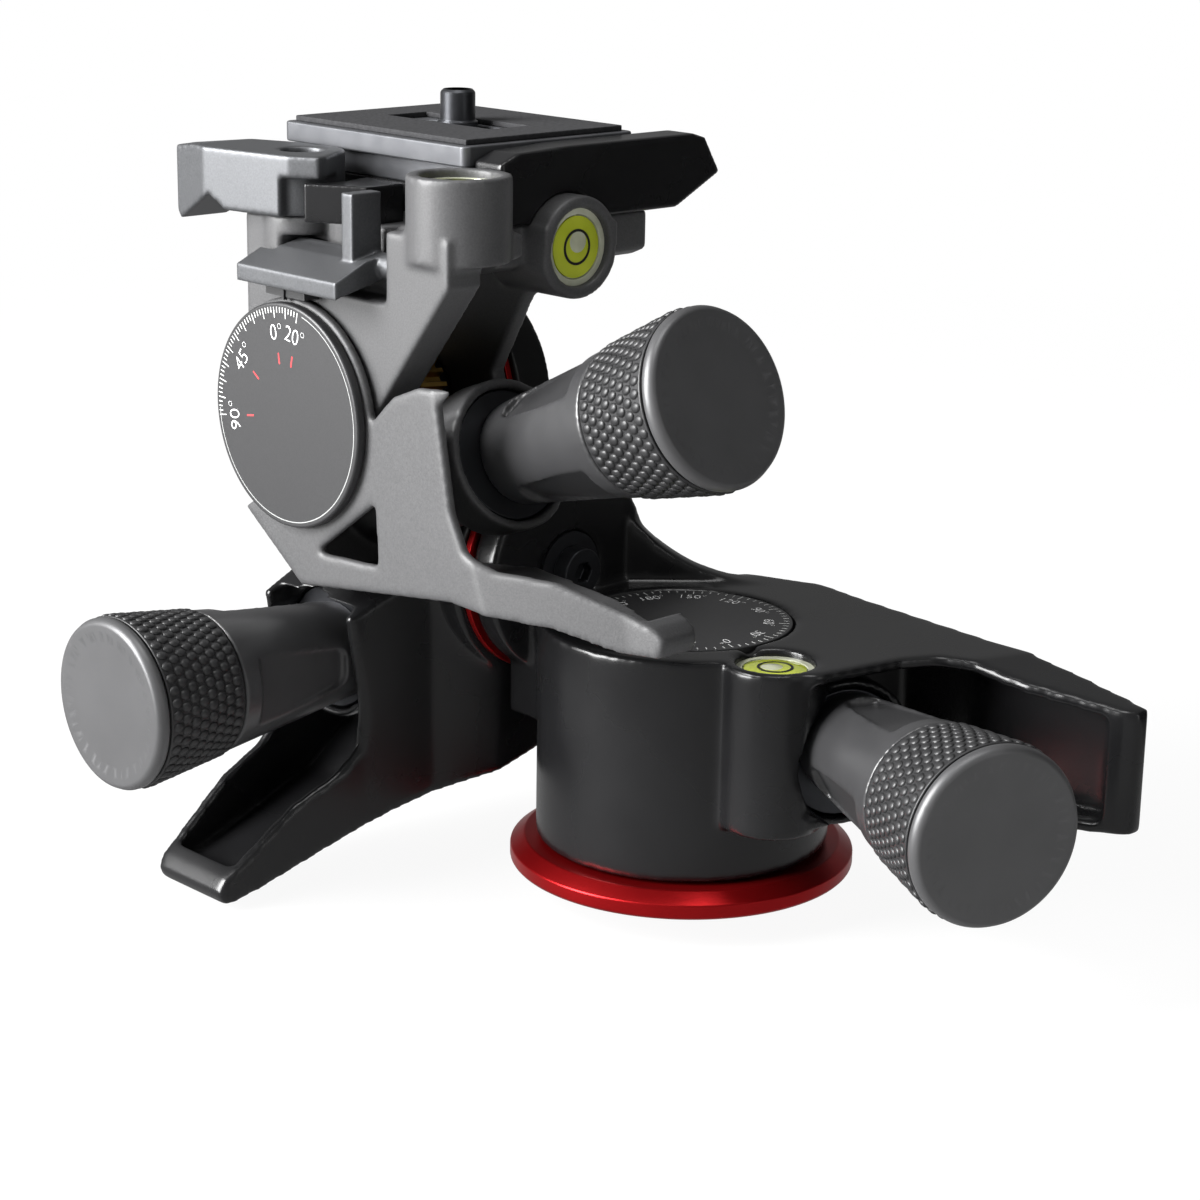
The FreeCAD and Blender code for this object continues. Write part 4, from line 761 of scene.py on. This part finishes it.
# White from 0.7 m outwards, so that the floor's far edge doesn't show
place = add(tree, "ShaderNodeTexCoord").outputs["Object"]
away = add(tree, "ShaderNodeVectorMath", {"operation": "LENGTH"}, {0: place})
share = add(tree, "ShaderNodeMapRange", None,
            {"Value": away.outputs["Value"], "From Min": 0.2, "From Max": 0.7, "To Min": 0.93, "To Max": 1.0})
part = add(tree, "ShaderNodeMath", {"operation": "MULTIPLY"}, {0: seen.outputs[0], 1: share.outputs["Result"]})
part = add(tree, "ShaderNodeMath", {"operation": "MAXIMUM"}, {0: part.outputs[0], 1: path["Is Glossy Ray"]})
matt = add(tree, "ShaderNodeBsdfDiffuse", None, {"Color": linear("#EFEFEF")})
# The coats mirror it as a grey floor, which keeps them black
glare = add(tree, "ShaderNodeMapRange", None, {"Value": path["Is Glossy Ray"], "To Min": 1.0, "To Max": 0.4})
bright = add(tree, "ShaderNodeEmission", None, {"Color": (1, 1, 1, 1), "Strength": glare.outputs["Result"]})
mix = add(tree, "ShaderNodeMixShader", None, {0: part.outputs[0], 1: matt.outputs[0], 2: bright.outputs[0]})
tree.links.new(mix.outputs[0], tree.nodes["Material Output"].inputs["Surface"])
floor.data.materials.append(paper)

world = bpy.data.worlds.new("white surround")
scene.world = world
world.use_nodes = True
tree = world.node_tree
path = add(tree, "ShaderNodeLightPath").outputs
seen = add(tree, "ShaderNodeMath", {"operation": "MAXIMUM"},
           {0: path["Is Camera Ray"], 1: path["Is Transmission Ray"]})
# White to the eye, grey in reflections, and with little light of its own
glare = add(tree, "ShaderNodeMapRange", None, {"Value": path["Is Glossy Ray"], "To Min": 0.1, "To Max": 0.22})
strength = add(tree, "ShaderNodeMath", {"operation": "MAXIMUM"}, {0: seen.outputs[0], 1: glare.outputs["Result"]})
tree.nodes["Background"].inputs["Color"].default_value = (1, 1, 1, 1)
tree.links.new(strength.outputs[0], tree.nodes["Background"].inputs["Strength"])


def softbox(name, place, aim, width, height, power):
    """A rectangular diffused lamp that faces a point."""
    lamp = bpy.data.lights.new(name, "AREA")
    lamp.shape = "RECTANGLE"
    lamp.size = width
    lamp.size_y = height
    lamp.energy = power
    holder = bpy.data.objects.new(name, lamp)
    holder.location = place
    holder.rotation_euler = (Vector(aim) - Vector(place)).to_track_quat("-Z", "Y").to_euler()
    scene.collection.objects.link(holder)


aim = (-0.01, -0.01, 0.06)
softbox("softbox left", (-0.45, -0.9, 0.5), aim, 0.6, 0.9, 56.0)
softbox("softbox above", (0.1, -0.1, 1.1), aim, 0.5, 0.5, 4.5)
softbox("softbox right", (0.95, 0.1, 0.35), aim, 0.15, 0.7, 1.0)

# Black cards: they show only in reflections, so that the faces turned to the right stay dark
card_black = bpy.data.materials.new("black card")
card_black.use_nodes = True
shader = card_black.node_tree.nodes["Principled BSDF"]
shader.inputs["Base Color"].default_value = linear("#050505")
shader.inputs["Roughness"].default_value = 0.9
for name, corners in (("card_right", [(0.25, 0.85, 0.0), (0.9, 0.1, 0.0), (0.9, 0.1, 0.8), (0.25, 0.85, 0.8)]),
                      ("card_low", [(0.09, 0.13, -0.002), (0.8, 0.13, -0.002), (0.8, 0.8, -0.002),
                                    (0.09, 0.8, -0.002)])):
    mesh = bpy.data.meshes.new(name)
    mesh.from_pydata(corners, [], [(0, 1, 2, 3)])
    mesh.materials.append(card_black)
    card = bpy.data.objects.new(name, mesh)
    card.visible_camera = False
    card.visible_diffuse = False
    card.visible_shadow = False
    scene.collection.objects.link(card)

# The view of the photograph, from the front corner, a little above the head
azimuth = math.radians(45.6)
pitch = math.radians(16.11)
roll = math.radians(0.97)
forward = Vector((-math.sin(azimuth) * math.cos(pitch), math.cos(azimuth) * math.cos(pitch), -math.sin(pitch)))
right = Vector((math.cos(azimuth), math.sin(azimuth), 0))
up = right.cross(forward)
side = right * math.cos(roll) + up * math.sin(roll)
top = up * math.cos(roll) - right * math.sin(roll)
lens = bpy.data.cameras.new("camera")
lens.sensor_width = 36.0
lens.lens = 83.25
lens.clip_start = 0.05
lens.clip_end = 20.0
camera = bpy.data.objects.new("camera", lens)
camera.matrix_world = Matrix.Translation((0.33023, -0.34528, 0.18651)) @ Matrix(
    (side, top, -forward)).transposed().to_4x4()
scene.collection.objects.link(camera)
scene.camera = camera
scene.view_settings.view_transform = "Standard"
